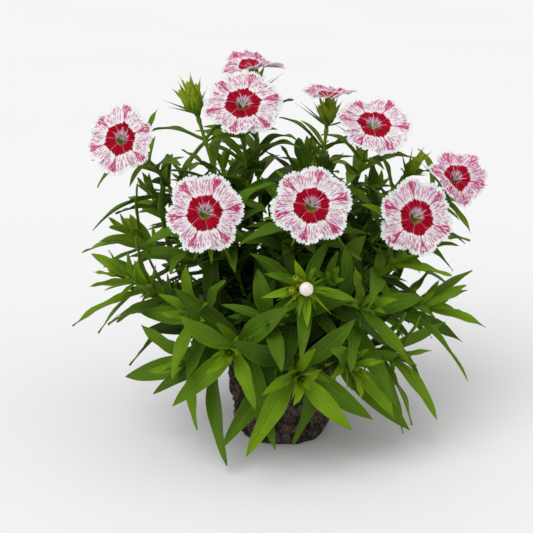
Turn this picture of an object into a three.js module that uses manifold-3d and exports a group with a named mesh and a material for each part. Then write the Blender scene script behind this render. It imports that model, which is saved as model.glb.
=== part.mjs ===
// A flowering dianthus plant lifted out of its pot: a bare root ball, leafy shoots, flower stems and blooms.
// Millimetres, +Z up. The origin is the centre of the root ball's flat underside.
// Directions are given as [turn, rise] in degrees: turn 0 points to the front (-Y), 90 to the right (+X).
import * as THREE from "three";
import { mergeVertices } from "three/addons/utils/BufferGeometryUtils.js";
import Module from "manifold-3d";

const wasm = await Module();
wasm.setup();

// ---- root ball ----
const BALL_HEIGHT = 60;
const BALL_TOP_RADIUS = 36;
const BALL_BASE_RADIUS = 26;
const BALL_EDGE = 4; // rounded edge at the top and the bottom
const BALL_RELIEF = 1.1; // how far roots and crumbs stand out of the side
const BALL_SIDES = 20;

// ---- stems ----
const SEAT_DEPTH = 9; // how deep a stem stands in its hole in the soil
const HOLE_GAP = 0.4;
const CROWN_RADIUS = 25; // the stems leave the soil inside this radius
const CROWN_SPREAD = 0.34; // a stem's foot lies at this share of its tip's distance from the middle
const FOOT_SPACING = 6.2;
const SPACING_ROUNDS = 80;
const STEM_RISE = 0.4; // a stem's reach times this is how far it holds its course up out of the soil
const STEM_LEAN = 0.08;
const STEM_ARRIVAL = 0.34; // and how far it already points the way that its tip faces
const UPPER_BOW = 0.6; // its sideways bow near the tip, against that near the soil
const STEM_SIDES = 4; // a leaf pair grows from two opposite sides of its stem
const SHOOT_RADIUS = 1.4;
const FLOWER_STEM_RADIUS = 1.6;
const TIP_RADIUS = 1;
const SHOOT_TAPER = 0.7; // a shoot's very tip is this much thinner again, to lie between its youngest leaves
const NODE_HALF = 1.1; // half the height of the swollen ring that a leaf pair grows from
const NODE_SWELL = 0.35;
const LONGEST_SPAN = 0.27; // as a share of the stem
const BOWS = [0, 5, -5, 10, -10, 15, -15, 20, -20, 26, -26]; // sideways bows tried to pass other stems

// ---- leaves ----
const LEAF_THICKNESS = 1; // at the midrib
const LEAF_FOLD = 0.28; // how steeply each half of the blade rises from the midrib
const LEAF_SLIMNESS = 0.24; // width as a share of the length
const LEAF_MAX_WIDTH = 12.5;
const SHOOT_RECURVE = 0.2; // how far a leaf's tip bends back, as a share of its length
const FLOWER_RECURVE = 0.36;
const LIGHT_TURN = 0.3; // how far its upper face turns up towards its tip
const LEAF_STEPS = [0.36, 0.72]; // where a blade has its rings of points
const LONGEST_FLOWER_LEAF = 50; // on the flower stems; the shoots have their own
const LONGEST_BUD_LEAF = 47;
// How much one leaf differs from the next: turn and splay in degrees, length and droop as shares of its length.
const TURN_SPREAD = 24;
const SPLAY_SPREAD = 12;
const LENGTH_SPREAD = 0.24;
const LEAST_DROOP = 0.02;
const DROOP_SPREAD = 0.13;
const ROOT_REACH = 1; // where a leaf starts to count for other stems, and for its own, from the stem's middle
const OWN_REACH = 4.5;
const LEAF_CLEARANCE = 0.35;
const FLOOR_CLEARANCE = 3; // no leaf hangs lower than this
// [turn about the stem, lift, share of the length], tried in order until a leaf is clear of its neighbours.
const LEAF_TRIES = [
  [0, 0, 1], [0, 12, 1], [0, -12, 1], [16, 0, 1], [-16, 0, 1], [16, 14, 0.95], [-16, 14, 0.95],
  [14, -14, 0.95], [-14, -14, 0.95], [0, 24, 0.9], [0, -24, 0.9], [30, 6, 0.85], [-30, 6, 0.85],
  [0, 0, 0.75], [24, 24, 0.8], [-24, 24, 0.8], [0, 36, 0.8], [40, 0, 0.75], [-40, 0, 0.75], [0, 0, 0.55],
];
// Leaf pairs from the tip down: place on the stem, splay, and size as a share of the longest leaf.
const SHOOT_LEAVES = [
  { t: 0.985, splay: 28, size: 0.48, slim: 0.85 },
  { t: 0.92, splay: 47, size: 0.8, slim: 0.95 },
  { t: 0.8, splay: 58, size: 1.06, slim: 0.95 },
  { t: 0.66, splay: 65, size: 1.16, slim: 0.9 },
  { t: 0.5, splay: 64, size: 1.14, slim: 0.9 },
];
const FLOWER_LEAVES = [
  { t: 0.97, splay: 34, size: 0.48, slim: 0.5 },
  { t: 0.88, splay: 42, size: 0.82, slim: 0.56 },
  { t: 0.75, splay: 48, size: 1.06, slim: 0.62 },
  { t: 0.6, splay: 52, size: 1.18, slim: 0.68 },
  { t: 0.44, splay: 58, size: 1.16, slim: 0.8 },
];

// ---- blooms ----
const BLOOM_RADIUS = 20.5;
const PETALS = 6;
const CLAW_SPREAD = 26; // half the angle that one petal spans, at its claw and at its blade
const PETAL_SPREAD = 34;
const PETAL_THICKNESS = 0.7;
const PETAL_TILT = 1.3; // one side of a petal lies this far above its middle, over its neighbour
const PETAL_LOBE = 3.9; // the sides of a petal are this much shorter than its middle
const PETAL_WAVE = 0.5;
const TOOTH_DEPTH = 1.5;
const TEETH = 4;
const THROAT_DIP = 2.4;
const CALYX_LENGTH = 15;
const CALYX_TOP = -2.3; // the calyx's mouth, below the middle of the petals
const CALYX_RADIUS = 2.9;

// The buds beside a bloom: degrees from its axis, size, and where the first one stands, in radians.
const SIDE_BUD_LEAN = 30;
const SIDE_BUD_SIZE = 0.8;
const SIDE_BUD_TURN = 2.4;
const BUD_GROUP_TURN = 0.6; // where the first side bud of a group of buds stands, in radians
const MIDDLE_BUD_SIZE = 1.15; // against the side buds of its group

// The blooms: middle of the petals, facing [turn, rise], turn of the petals, size, how far all petals lift
// (cup), and how much further they lift on two opposite sides (fold, at foldTurn), in degrees.
const BLOOMS = [
  { at: [-89, -20, 180], face: [-17, 24], roll: 24, size: 0.96, cup: 3, fold: 3, foldTurn: 40, buds: 1 },
  { at: [-22.5, -10, 197.5], face: [0, 45], roll: 14, size: 1.05, cup: 1, fold: 2, foldTurn: 90, buds: 2 },
  { at: [-17, 32, 211], face: [190, 80], roll: 10, size: 0.96, cup: 9, fold: 12, foldTurn: 110, buds: 1 },
  { at: [27, 25, 195], face: [140, 80], roll: 40, size: 0.78, cup: 12, fold: 6, foldTurn: 0, buds: 3 },
  { at: [50, -5, 185], face: [16, 55], roll: 45, size: 1.05, cup: 2, fold: 4, foldTurn: 10, buds: 1 },
  { at: [14, -62, 154], face: [4, 22], roll: 14, size: 1.03, cup: 1, fold: 2, foldTurn: 60, buds: 0 },
  { at: [-42, -58, 149], face: [-4, 22], roll: 10, size: 1.04, cup: 0, fold: 2, foldTurn: 20, buds: 0 },
  { at: [72, -35, 140], face: [22, 20], roll: 33, size: 1.08, cup: 1, fold: 3, foldTurn: 100, buds: 1 },
  { at: [97, -4, 154], face: [22, 32], roll: 40, size: 0.86, cup: 10, fold: 20, foldTurn: 30, buds: 1 },
];

// The stems that end in closed buds: foot of the bud group, facing, how many buds, their size and their lean.
const BUD_STEMS = [
  { at: [-48.5, 6, 189], face: [-75, 74], buds: 4, size: 1.1, lean: 22 },
  { at: [11, -73, 113], face: [0, 14], buds: 3, size: 0.6, lean: 40, opening: true },
  { at: [70, 6, 154], face: [62, 52], buds: 1, size: 0.95, lean: 24 },
];

// The shoots without flowers: tip, facing at the tip, turn of the last leaf pair, leaf pairs and longest leaf.
// Where narrow is given, the leaves have that share of the usual splay and width.
const SHOOTS = [
  { at: [-28, -70, 76], face: [-16, 10], roll: 40, pairs: 5, leaf: 54 },
  { at: [8, -76, 64], face: [6, 4], roll: 50, pairs: 5, leaf: 52 },
  { at: [-50, -56, 92], face: [-40, 26], roll: 20, pairs: 5, leaf: 48 },
  { at: [-88, -28, 104], face: [-74, 38], roll: 75, pairs: 4, leaf: 52, narrow: 0.68 },
  { at: [-86, -6, 122], face: [-82, 42], roll: 0, pairs: 4, leaf: 54, narrow: 0.7 },
  { at: [-74, 16, 138], face: [-98, 56], roll: 45, pairs: 4, leaf: 50, narrow: 0.75 },
  { at: [44, -58, 96], face: [40, 26], roll: 15, pairs: 5, leaf: 50 },
  { at: [82, -26, 86], face: [80, 14], roll: 35, pairs: 3, leaf: 60, narrow: 0.68 },
  { at: [36, -62, 64], face: [34, 2], roll: 40, pairs: 5, leaf: 54 },
  { at: [-52, -50, 62], face: [-46, 4], roll: 30, pairs: 4, leaf: 54 },
  { at: [62, -38, 60], face: [60, 4], roll: 30, pairs: 4, leaf: 56, narrow: 0.8 },
  { at: [62, -34, 116], face: [58, 44], roll: 5, pairs: 4, leaf: 50, narrow: 0.85 },
  { at: [82, 10, 118], face: [88, 40], roll: 20, pairs: 4, leaf: 52, narrow: 0.72 },
  { at: [68, 24, 68], face: [108, 12], roll: 0, pairs: 4, leaf: 56, narrow: 0.72 },
  { at: [48, 58, 72], face: [140, 12], roll: 30, pairs: 4, leaf: 50 },
  { at: [12, 72, 68], face: [170, 12], roll: 10, pairs: 4, leaf: 50 },
  { at: [-26, 68, 70], face: [200, 10], roll: 40, pairs: 4, leaf: 50 },
  { at: [-58, 46, 68], face: [232, 12], roll: 15, pairs: 4, leaf: 50 },
  { at: [-70, 10, 80], face: [264, 14], roll: 25, pairs: 4, leaf: 56, narrow: 0.72 },
  { at: [56, 40, 134], face: [128, 56], roll: 12, pairs: 4, leaf: 48, narrow: 0.85 },
  { at: [24, 56, 142], face: [162, 56], roll: 33, pairs: 4, leaf: 48, narrow: 0.85 },
  { at: [-26, 54, 142], face: [204, 58], roll: 3, pairs: 4, leaf: 48, narrow: 0.85 },
  { at: [-56, 38, 138], face: [236, 56], roll: 28, pairs: 4, leaf: 48, narrow: 0.85 },
  { at: [6, -34, 132], face: [-10, 66], roll: 20, pairs: 4, leaf: 46 },
  { at: [-34, 14, 154], face: [200, 78], roll: 40, pairs: 4, leaf: 46, narrow: 0.85 },
  { at: [14, 20, 160], face: [150, 80], roll: 20, pairs: 4, leaf: 48, narrow: 0.85 },
  { at: [-9, -66, 92], face: [-8, 26], roll: 15, pairs: 4, leaf: 50 },
  { at: [24, -56, 108], face: [20, 44], roll: 60, pairs: 4, leaf: 46 },
  { at: [-54, -30, 124], face: [-50, 56], roll: 50, pairs: 4, leaf: 44 },
];

const UP = new THREE.Vector3(0, 0, 1);
const radians = THREE.MathUtils.degToRad;
const vector = (list) => new THREE.Vector3(...list);

// A repeatable random number from 0 to 1; the same seed gives the same series.
function randomSeries(seed) {
  let state = seed;
  return () => {
    state = (state * 16807) % 2147483647;
    return state / 2147483647;
  };
}

function direction([turn, rise]) {
  const t = radians(turn);
  const r = radians(rise);
  return new THREE.Vector3(Math.sin(t) * Math.cos(r), -Math.cos(t) * Math.cos(r), Math.sin(r));
}

// a * p + b * q + c * r, of three vectors
function mix(p, a, q, b, r = UP, c = 0) {
  return new THREE.Vector3().addScaledVector(p, a).addScaledVector(q, b).addScaledVector(r, c);
}

// What is left of v at right angles to the unit vector along, at length 1.
function squared(v, along) {
  return v.clone().addScaledVector(along, -v.dot(along)).normalize();
}

// ---- closed solids ----

function solidOf(geometry) {
  const bare = geometry.clone();
  bare.deleteAttribute("normal");
  bare.deleteAttribute("uv");
  const merged = mergeVertices(bare, 1e-4);
  const index = merged.index.array;
  const triVerts = [];
  for (let i = 0; i < index.length; i += 3) {
    const [a, b, c] = [index[i], index[i + 1], index[i + 2]];
    if (a !== b && b !== c && c !== a) triVerts.push(a, b, c);
  }
  const vertProperties = merged.attributes.position.array;
  return new wasm.Manifold(new wasm.Mesh({ numProp: 3, vertProperties, triVerts: new Uint32Array(triVerts) }));
}

function geometryFrom(points, index) {
  const geometry = new THREE.BufferGeometry().setFromPoints(points);
  geometry.setIndex(index);
  return geometry;
}

function geometryOf(solid) {
  const { vertProperties, triVerts } = solid.getMesh();
  const geometry = new THREE.BufferGeometry();
  geometry.setAttribute("position", new THREE.BufferAttribute(vertProperties, 3));
  geometry.setIndex(new THREE.BufferAttribute(triVerts, 1));
  geometry.computeVertexNormals();
  return geometry;
}

function joined(solids) {
  return wasm.Manifold.union(solids);
}

// A solid through rings of points. Each ring runs anticlockwise seen from the last one, which may be one point.
function loft(rings) {
  const sides = rings[0].length;
  const index = [];
  for (let i = 1; i < sides - 1; i++) index.push(0, i + 1, i);
  rings.slice(1).forEach((ring, r) => {
    const a = r * sides;
    const b = a + sides;
    for (let i = 0; i < sides; i++) {
      const j = (i + 1) % sides;
      if (ring.length === 1) index.push(a + i, a + j, b);
      else if (i % 2) index.push(a + i, a + j, b + i, a + j, b + j, b + i);
      else index.push(a + i, a + j, b + j, a + i, b + j, b + i);
    }
  });
  const last = (rings.length - 1) * sides;
  if (rings.at(-1).length > 1) for (let i = 1; i < sides - 1; i++) index.push(last, last + i, last + i + 1);
  return solidOf(geometryFrom(rings.flat(), index));
}

// A turned solid with its axis along `along`, from a profile of [radius, height] pairs that starts and ends at
// radius 0.
function turned(profile, sides, at, along) {
  const points = profile.map(([radius, height]) => new THREE.Vector2(radius, height));
  const geometry = new THREE.LatheGeometry(points, sides);
  geometry.applyQuaternion(new THREE.Quaternion().setFromUnitVectors(new THREE.Vector3(0, 1, 0), along));
  geometry.translate(at.x, at.y, at.z);
  const solid = solidOf(geometry);
  return solid.volume() < 0 ? solidOf(flipped(geometry)) : solid;
}

function flipped(geometry) {
  const index = geometry.index.array;
  for (let i = 0; i < index.length; i += 3) [index[i], index[i + 1]] = [index[i + 1], index[i]];
  return geometry;
}

// ---- stems ----

// Feet lie under their tips, nearer the middle, and push each other apart until they have room.
function stemFeet(tips) {
  const feet = tips.map((tip) => new THREE.Vector2(tip.x, tip.y).multiplyScalar(CROWN_SPREAD));
  for (let round = 0; round < SPACING_ROUNDS; round++) {
    feet.forEach((a, i) =>
      feet.slice(i + 1).forEach((b) => {
        const away = b.clone().sub(a);
        const overlap = FOOT_SPACING - away.length();
        if (overlap <= 0) return;
        away.setLength(overlap / 2);
        a.sub(away);
        b.add(away);
      }),
    );
    feet.forEach((foot) => foot.clampLength(0, CROWN_RADIUS));
  }
  return feet;
}

// A stem's centre line: straight up out of the soil, then over to its tip, with a sideways bow.
function stemCurve(foot, tip, facing, bow) {
  const start = new THREE.Vector3(foot.x, foot.y, BALL_HEIGHT - SEAT_DEPTH);
  const reach = start.distanceTo(tip);
  const outward = new THREE.Vector3(tip.x - foot.x, tip.y - foot.y, 0).normalize();
  const sideways = new THREE.Vector3(-outward.y, outward.x, 0);
  const first = mix(start, 1, outward, reach * STEM_LEAN, UP, reach * STEM_RISE).addScaledVector(sideways, bow);
  const second = mix(tip, 1, facing, -reach * STEM_ARRIVAL).addScaledVector(sideways, bow * UPPER_BOW);
  return { curve: new THREE.CubicBezierCurve3(start, first, second, tip), sideways };
}

// The stem's cross axes at t: one level, one square to it.
function stemFrame(stem, t) {
  const along = stem.curve.getTangent(t);
  const level = squared(stem.sideways, along);
  return { at: stem.curve.getPoint(t), along, level, square: new THREE.Vector3().crossVectors(along, level) };
}

function stemRing(stem, t, radius) {
  const { at, level, square } = stemFrame(stem, t);
  return Array.from({ length: STEM_SIDES }, (_, i) => {
    const angle = radians(stem.roll) + (2 * Math.PI * (i - 0.5)) / STEM_SIDES;
    return mix(at, 1, level, radius * Math.cos(angle), square, radius * Math.sin(angle));
  });
}

// Where the stem has rings: its two ends, below and above each leaf pair, and between those that lie far apart.
function stemStations({ pairs, taper = 0 }, length) {
  const half = NODE_HALF / length;
  const stations = [{ t: 0, swell: 0 }];
  for (const pair of [...pairs].reverse()) {
    const low = pair.t - half;
    const from = stations.at(-1).t;
    const spans = Math.ceil((low - from) / LONGEST_SPAN);
    for (let i = 1; i < spans; i++) stations.push({ t: from + ((low - from) * i) / spans, swell: 0 });
    stations.push({ t: low, swell: NODE_SWELL, pair }, { t: pair.t + half, swell: NODE_SWELL });
  }
  stations.push({ t: 1, swell: -taper });
  return stations;
}

function stemRings(stem, grow = 0) {
  return stem.stations.map(({ t, swell }) =>
    stemRing(stem, t, THREE.MathUtils.lerp(stem.radius, TIP_RADIUS, t) + swell + grow),
  );
}

// A stem with its leaves as one skin: a leaf's rings start at the four corners of the side that it grows from.
function grownSolid(stem, leaves) {
  const rings = stemRings(stem);
  const points = rings.flat();
  const index = [0, 2, 1, 0, 3, 2];
  const skin = (a, b, c, d) => index.push(a, b, c, a, c, d);
  rings.slice(1).forEach((_, r) => {
    for (let i = 0; i < STEM_SIDES; i++) {
      const j = (i + 1) % STEM_SIDES;
      const [a, b] = [r * STEM_SIDES, (r + 1) * STEM_SIDES];
      const leaf = leaves.find((one) => one.pair === stem.stations[r].pair && one.side === i);
      if (!leaf) skin(a + i, a + j, b + j, b + i);
      else growRings(points, index, [b + i, a + i, a + j, b + j], leaf.rings);
    }
  });
  const last = points.indexOf(rings.at(-1)[0]);
  index.push(last, last + 1, last + 2, last, last + 2, last + 3);
  return solidOf(geometryFrom(points, index));
}

// Adds a leaf's rings to the skin, from the four root corners to the tip point.
function growRings(points, index, root, rings) {
  let from = root;
  for (const ring of rings) {
    const start = points.length;
    points.push(...ring);
    const to = ring.map((_, i) => start + i);
    for (let i = 0; i < 4; i++) {
      const j = (i + 1) % 4;
      if (ring.length === 1) index.push(from[i], from[j], start);
      else if (i % 2) index.push(from[i], from[j], to[i], from[j], to[j], to[i]);
      else index.push(from[i], from[j], to[j], from[i], to[j], to[i]);
    }
    from = to;
  }
}

function stemSolid(stem, grow = 0) {
  return loft(stemRings(stem, grow));
}

// ---- leaves ----

// Half the blade's width along its length, as a share of the widest.
function leafOutline(t) {
  const rise = THREE.MathUtils.smoothstep(t, 0, 0.46);
  return ((0.3 + 0.7 * rise) * (1 - Math.pow(t, 2.6))) / 0.9;
}

// A leaf that leaves the stem at t, `turn` degrees round it and `splay` degrees away from its direction.
function makeLeaf(stem, t, turn, splay, length, width, recurve, droop) {
  const { at, along, level, square } = stemFrame(stem, t);
  const a = radians(turn);
  const s = radians(splay);
  const out = mix(level, Math.cos(a), square, Math.sin(a));
  const side = mix(level, -Math.sin(a), square, Math.cos(a));
  const start = mix(along, Math.cos(s), out, Math.sin(s));
  const bend = mix(along, -recurve, UP, -droop);
  return { root: at, start, side, bend, length, width };
}

// The blade's centre and its axes at t: sideways, and out of its upper face, which turns a little to the light.
function leafFrame(leaf, t) {
  const at = mix(leaf.root, 1, leaf.start, leaf.length * t).addScaledVector(leaf.bend, leaf.length * t * t);
  const along = mix(leaf.start, 1, leaf.bend, 2 * t).normalize();
  const face = new THREE.Vector3().crossVectors(along, squared(leaf.side, along));
  const normal = squared(face.addScaledVector(UP, LIGHT_TURN * t), along);
  return { at, side: new THREE.Vector3().crossVectors(normal, along), normal };
}

function leafRing(leaf, t, grow) {
  const { at, side, normal } = leafFrame(leaf, t);
  const half = (leaf.width / 2) * leafOutline(t);
  const reach = half + grow;
  const lift = half * LEAF_FOLD;
  return [
    mix(at, 1, side, -reach, normal, lift),
    mix(at, 1, normal, -LEAF_THICKNESS - grow),
    mix(at, 1, side, reach, normal, lift),
    mix(at, 1, normal, grow),
  ];
}

function leafRings(leaf, steps = LEAF_STEPS, grow = 0) {
  const rings = steps.map((t) => leafRing(leaf, t, grow));
  return [...rings, [leafFrame(leaf, 1).at.addScaledVector(leaf.start, grow)]];
}

// The leaf from `reach` outwards and a little thicker, to try whether it fits.
function leafTest(leaf, reach) {
  return loft(leafRings(leaf, [reach / leaf.length, ...LEAF_STEPS], LEAF_CLEARANCE));
}

// ---- what is already there, so that new pieces can be bent clear of it ----

const placed = [];

function place(owner, kind, solid) {
  placed.push({ owner, kind, solid, box: solid.boundingBox() });
  return solid;
}

function boxesMeet(a, b) {
  return a.min.every((low, i) => low <= b.max[i] && b.min[i] <= a.max[i]);
}

function isClear(solid, skip = () => false) {
  const box = solid.boundingBox();
  return !placed.some(
    (other) => !skip(other) && boxesMeet(box, other.box) && !solid.intersect(other.solid).isEmpty(),
  );
}

// ---- root ball ----

function ballRadius(height) {
  return THREE.MathUtils.lerp(BALL_BASE_RADIUS, BALL_TOP_RADIUS, height / BALL_HEIGHT);
}

// Matted roots and crumbs, as crossing waves round the side.
function ballRelief(angle, height) {
  const slow = Math.sin(angle * 5 + height * 0.21);
  const waves = slow + Math.sin(angle * 9 - height * 0.33 + 1) + Math.sin(angle * 14 + height * 0.5);
  return (BALL_RELIEF * waves) / 3;
}

function ballSolid() {
  const heights = [BALL_EDGE, 17, 30, 43, BALL_HEIGHT - BALL_EDGE];
  const profile = [
    [0, 0],
    [BALL_BASE_RADIUS - BALL_EDGE, 0],
    ...heights.map((height) => [ballRadius(height), height]),
    [BALL_TOP_RADIUS - BALL_EDGE, BALL_HEIGHT],
    [0, BALL_HEIGHT],
  ];
  const points = profile.map(([radius, height]) => new THREE.Vector2(radius, height));
  const geometry = new THREE.LatheGeometry(points, BALL_SIDES);
  geometry.rotateX(Math.PI / 2);
  const position = geometry.attributes.position;
  for (let i = 0; i < position.count; i++) {
    const [x, y, z] = [position.getX(i), position.getY(i), position.getZ(i)];
    const radius = Math.hypot(x, y);
    if (z < 1 || z > BALL_HEIGHT - 1) continue;
    const scale = 1 + ballRelief(Math.atan2(y, x), z) / radius;
    position.setXYZ(i, x * scale, y * scale, z);
  }
  const solid = solidOf(geometry);
  return solid.volume() < 0 ? solidOf(flipped(geometry)) : solid;
}

// ---- blooms ----

// The bloom's own axes: `normal` out of its face, and two across it.
function bloomFrame(bloom) {
  const normal = direction(bloom.face);
  const up = squared(UP, normal);
  const across = new THREE.Vector3().crossVectors(up, normal);
  return { at: vector(bloom.at), normal, across, up };
}

function bloomPoint(frame, angle, radius, height) {
  const out = mix(frame.across, Math.cos(angle), frame.up, Math.sin(angle));
  return mix(frame.at, 1, out, radius, frame.normal, height);
}

// A point of petal k: `radius` from the bloom's middle, `v` from -1 to 1 across the petal.
function petalPoint(frame, bloom, k, radius, v) {
  const share = radius / (BLOOM_RADIUS * bloom.size);
  const spread = THREE.MathUtils.lerp(CLAW_SPREAD, PETAL_SPREAD, THREE.MathUtils.smoothstep(share, 0.15, 0.6));
  const angle = radians(bloom.roll + (360 * k) / PETALS + v * spread);
  const reach = radius - PETAL_LOBE * bloom.size * share * share * v * v;
  const raised = bloom.cup + bloom.fold * Math.cos(2 * (angle - radians(bloom.foldTurn)));
  const lift = radians(raised) * THREE.MathUtils.smoothstep(share, 0.1, 0.5);
  const wave = PETAL_WAVE * Math.sin(v * 7 + k * 2) * share * share;
  const dip = -THROAT_DIP * Math.pow(1 - Math.min(share, 1), 6);
  const height = reach * Math.sin(lift) + PETAL_TILT * v * share + wave + dip;
  return bloomPoint(frame, angle, reach * Math.cos(lift), height);
}

// The rows of a petal's points, from its claw outwards: [radius as a share of the bloom's, points across].
const PETAL_ROWS = [[0.12, 2], [0.42, 3], [0.78, 3]];

function petalRows(size) {
  const across = (count, radius) =>
    Array.from({ length: count }, (_, i) => ({ v: (2 * i) / (count - 1) - 1, radius: radius(i) }));
  const toothed = across(2 * TEETH + 1, (i) => size - (i % 2 ? 0 : TOOTH_DEPTH));
  return [...PETAL_ROWS.map(([share, count]) => across(count, () => share * size)), toothed];
}

// The triangles between two rows of points, zipped together by their place `v` across the petal.
function zipped(low, high, lowStart, highStart) {
  const faces = [];
  let [i, j] = [0, 0];
  while (i + 1 < low.length || j + 1 < high.length) {
    const stepLow = j + 1 >= high.length || (i + 1 < low.length && low[i + 1].v <= high[j + 1].v);
    const [a, b] = [lowStart + i, highStart + j];
    if (stepLow) i += 1;
    else j += 1;
    faces.push([a, b, stepLow ? lowStart + i : highStart + j]);
  }
  return faces;
}

// All petals of a bloom as one plate of even thickness: their claws meet in a small disc in the middle.
function petalPlate(frame, bloom) {
  const rows = petalRows(BLOOM_RADIUS * bloom.size);
  const starts = rows.map((_, r) => rows.slice(0, r).reduce((sum, row) => sum + row.length, 0));
  const ends = rows.map((row, r) => starts[r] + row.length - 1);
  const points = [];
  const faces = [];
  const rim = [];
  const claws = [];
  for (let k = 0; k < PETALS; k++) {
    const base = points.length;
    for (const { v, radius } of rows.flat()) points.push(petalPoint(frame, bloom, k, radius, v));
    for (let r = 0; r + 1 < rows.length; r++) {
      faces.push(...zipped(rows[r], rows[r + 1], base + starts[r], base + starts[r + 1]));
    }
    const edge = rows.at(-1).map((_, i) => starts.at(-1) + i);
    rim.push(...[...starts.slice(0, -1), ...edge, ...ends.slice(0, -1).reverse()].map((i) => base + i));
    claws.push(base + starts[0], base + ends[0]);
  }
  for (let i = 1; i + 1 < claws.length; i++) faces.push([claws[0], claws[i], claws[i + 1]]);
  const under = points.length;
  const index = faces.flatMap(([a, b, c]) => [a, b, c, a + under, c + under, b + under]);
  rim.forEach((a, i) => {
    const b = rim[(i + 1) % rim.length];
    index.push(a, a + under, b, b, a + under, b + under);
  });
  points.push(...points.map((p) => mix(p, 1, frame.normal, -PETAL_THICKNESS)));
  return solidOf(geometryFrom(points, index));
}

// The peg under the petals, which stands in the calyx.
const PEG_PROFILE = [[0, -8.8], [1.7, -8.8], [1.7, -1.45], [0, -1.45]];
const PEG_SIDES = 5;

function corollaSolid(bloom) {
  const frame = bloomFrame(bloom);
  return joined([petalPlate(frame, bloom), turned(PEG_PROFILE, PEG_SIDES, frame.at, frame.normal)]);
}

// ---- calyx, bracts and buds ----

const CALYX_PROFILE = [
  [0, CALYX_TOP - CALYX_LENGTH],
  [1.3, CALYX_TOP - CALYX_LENGTH],
  [CALYX_RADIUS, CALYX_TOP - CALYX_LENGTH * 0.6],
  [2.7, CALYX_TOP],
  [2.15, CALYX_TOP],
  [2.15, -9.2],
  [0, -9.2],
];
const CALYX_SIDES = 6;
const BUD_PROFILE = [[0, -1], [1.4, 0], [2.7, 5], [2.1, 11], [0, 15.5]];
const BUD_SIDES = 5;

function budSolid(at, along, size) {
  return turned(BUD_PROFILE.map(([radius, height]) => [radius * size, height * size]), BUD_SIDES, at, along);
}

// The directions of side buds round a stem's end.
function budDirections(along, count, lean, offset) {
  const level = squared(UP, mix(along, 1, new THREE.Vector3(1, 0, 0), 0.02).normalize());
  const square = new THREE.Vector3().crossVectors(along, level);
  return Array.from({ length: count }, (_, i) => {
    const a = (2 * Math.PI * i) / count + offset;
    const l = radians(lean);
    const out = mix(level, Math.cos(a), square, Math.sin(a));
    return mix(along, Math.cos(l), out, Math.sin(l)).normalize();
  });
}

function bloomHead(bloom, i) {
  const frame = bloomFrame(bloom);
  const foot = mix(frame.at, 1, frame.normal, CALYX_TOP - CALYX_LENGTH + 1);
  const parts = [turned(CALYX_PROFILE, CALYX_SIDES, frame.at, frame.normal)];
  for (const along of budDirections(frame.normal, bloom.buds, SIDE_BUD_LEAN, SIDE_BUD_TURN + i)) {
    parts.push(budSolid(foot, along, SIDE_BUD_SIZE));
  }
  return { foot, solid: joined(parts) };
}

function budHead(group) {
  const along = direction(group.face);
  const foot = vector(group.at);
  const sides = budDirections(along, group.buds - 1, group.lean, BUD_GROUP_TURN);
  const parts = sides.map((way) => budSolid(foot, way, group.size));
  parts.push(group.opening ? openingCalyx(foot, along) : budSolid(foot, along, group.size * MIDDLE_BUD_SIZE));
  return { foot, solid: joined(parts) };
}

// The bud that is about to open: a short calyx cup, and the furled petals that stand in it.
const CUP_PROFILE = [[0, -1], [1.4, -1], [3, 4], [3.4, 9], [2.9, 9], [2.6, 5], [0, 5]];
const CUP_SIDES = 8;
const FURLED_PROFILE = [[0, 5.4], [2.1, 5.4], [2.4, 9], [3.5, 10.4], [3.6, 12.2], [2.4, 14.2], [0, 14.9]];
const FURLED_SIDES = 8;

function openingCalyx(foot, along) {
  return turned(CUP_PROFILE, CUP_SIDES, foot, along);
}

function furledPetals(group) {
  return turned(FURLED_PROFILE, FURLED_SIDES, vector(group.at), direction(group.face));
}

// ---- the plant ----

const MATERIALS = {
  leaf: new THREE.MeshStandardMaterial({ color: 0x4f7d26, roughness: 0.55, metalness: 0 }),
  petal: new THREE.MeshStandardMaterial({ color: 0xf1dde3, roughness: 0.6, metalness: 0 }),
  soil: new THREE.MeshStandardMaterial({ color: 0x3a2b22, roughness: 0.95, metalness: 0 }),
};

const plant = new THREE.Group();

function addNode(name, solid, material) {
  const mesh = new THREE.Mesh(geometryOf(solid), material);
  mesh.name = name;
  plant.add(mesh);
}

function shootPairs({ pairs, narrow = 1 }) {
  return SHOOT_LEAVES.slice(0, pairs).map((pair) => {
    return { ...pair, splay: pair.splay * narrow, slim: pair.slim * narrow };
  });
}

// Every stem of the plant: what it ends in, its tip and how it grows.
function stemPlans() {
  const plans = [];
  BLOOMS.forEach((bloom, i) => {
    const name = `flower_stem_${i + 1}`;
    const { foot, solid } = bloomHead(bloom, i);
    place(name, "head", solid);
    place(`corolla_${i + 1}`, "corolla", corollaSolid(bloom));
    plans.push({ name, tip: foot, facing: direction(bloom.face), radius: FLOWER_STEM_RADIUS, head: solid,
      pairs: FLOWER_LEAVES, leaf: LONGEST_FLOWER_LEAF, recurve: FLOWER_RECURVE, roll: 20 + 37 * i,
      seed: 11 + i });
  });
  BUD_STEMS.forEach((group, i) => {
    const name = `bud_stem_${i + 1}`;
    const { foot, solid } = budHead(group);
    place(name, "head", solid);
    if (group.opening) place("opening_bud_petals", "corolla", furledPetals(group));
    plans.push({ name, tip: foot, facing: direction(group.face), radius: FLOWER_STEM_RADIUS, head: solid,
      pairs: FLOWER_LEAVES, leaf: LONGEST_BUD_LEAF, recurve: FLOWER_RECURVE, roll: 70 * i, seed: 41 + i });
  });
  SHOOTS.forEach((shoot, i) => {
    plans.push({ name: `leafy_shoot_${i + 1}`, tip: vector(shoot.at), facing: direction(shoot.face),
      radius: SHOOT_RADIUS, taper: SHOOT_TAPER, pairs: shootPairs(shoot), leaf: shoot.leaf,
      recurve: SHOOT_RECURVE, roll: shoot.roll, seed: 71 + i });
  });
  return plans;
}

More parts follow.
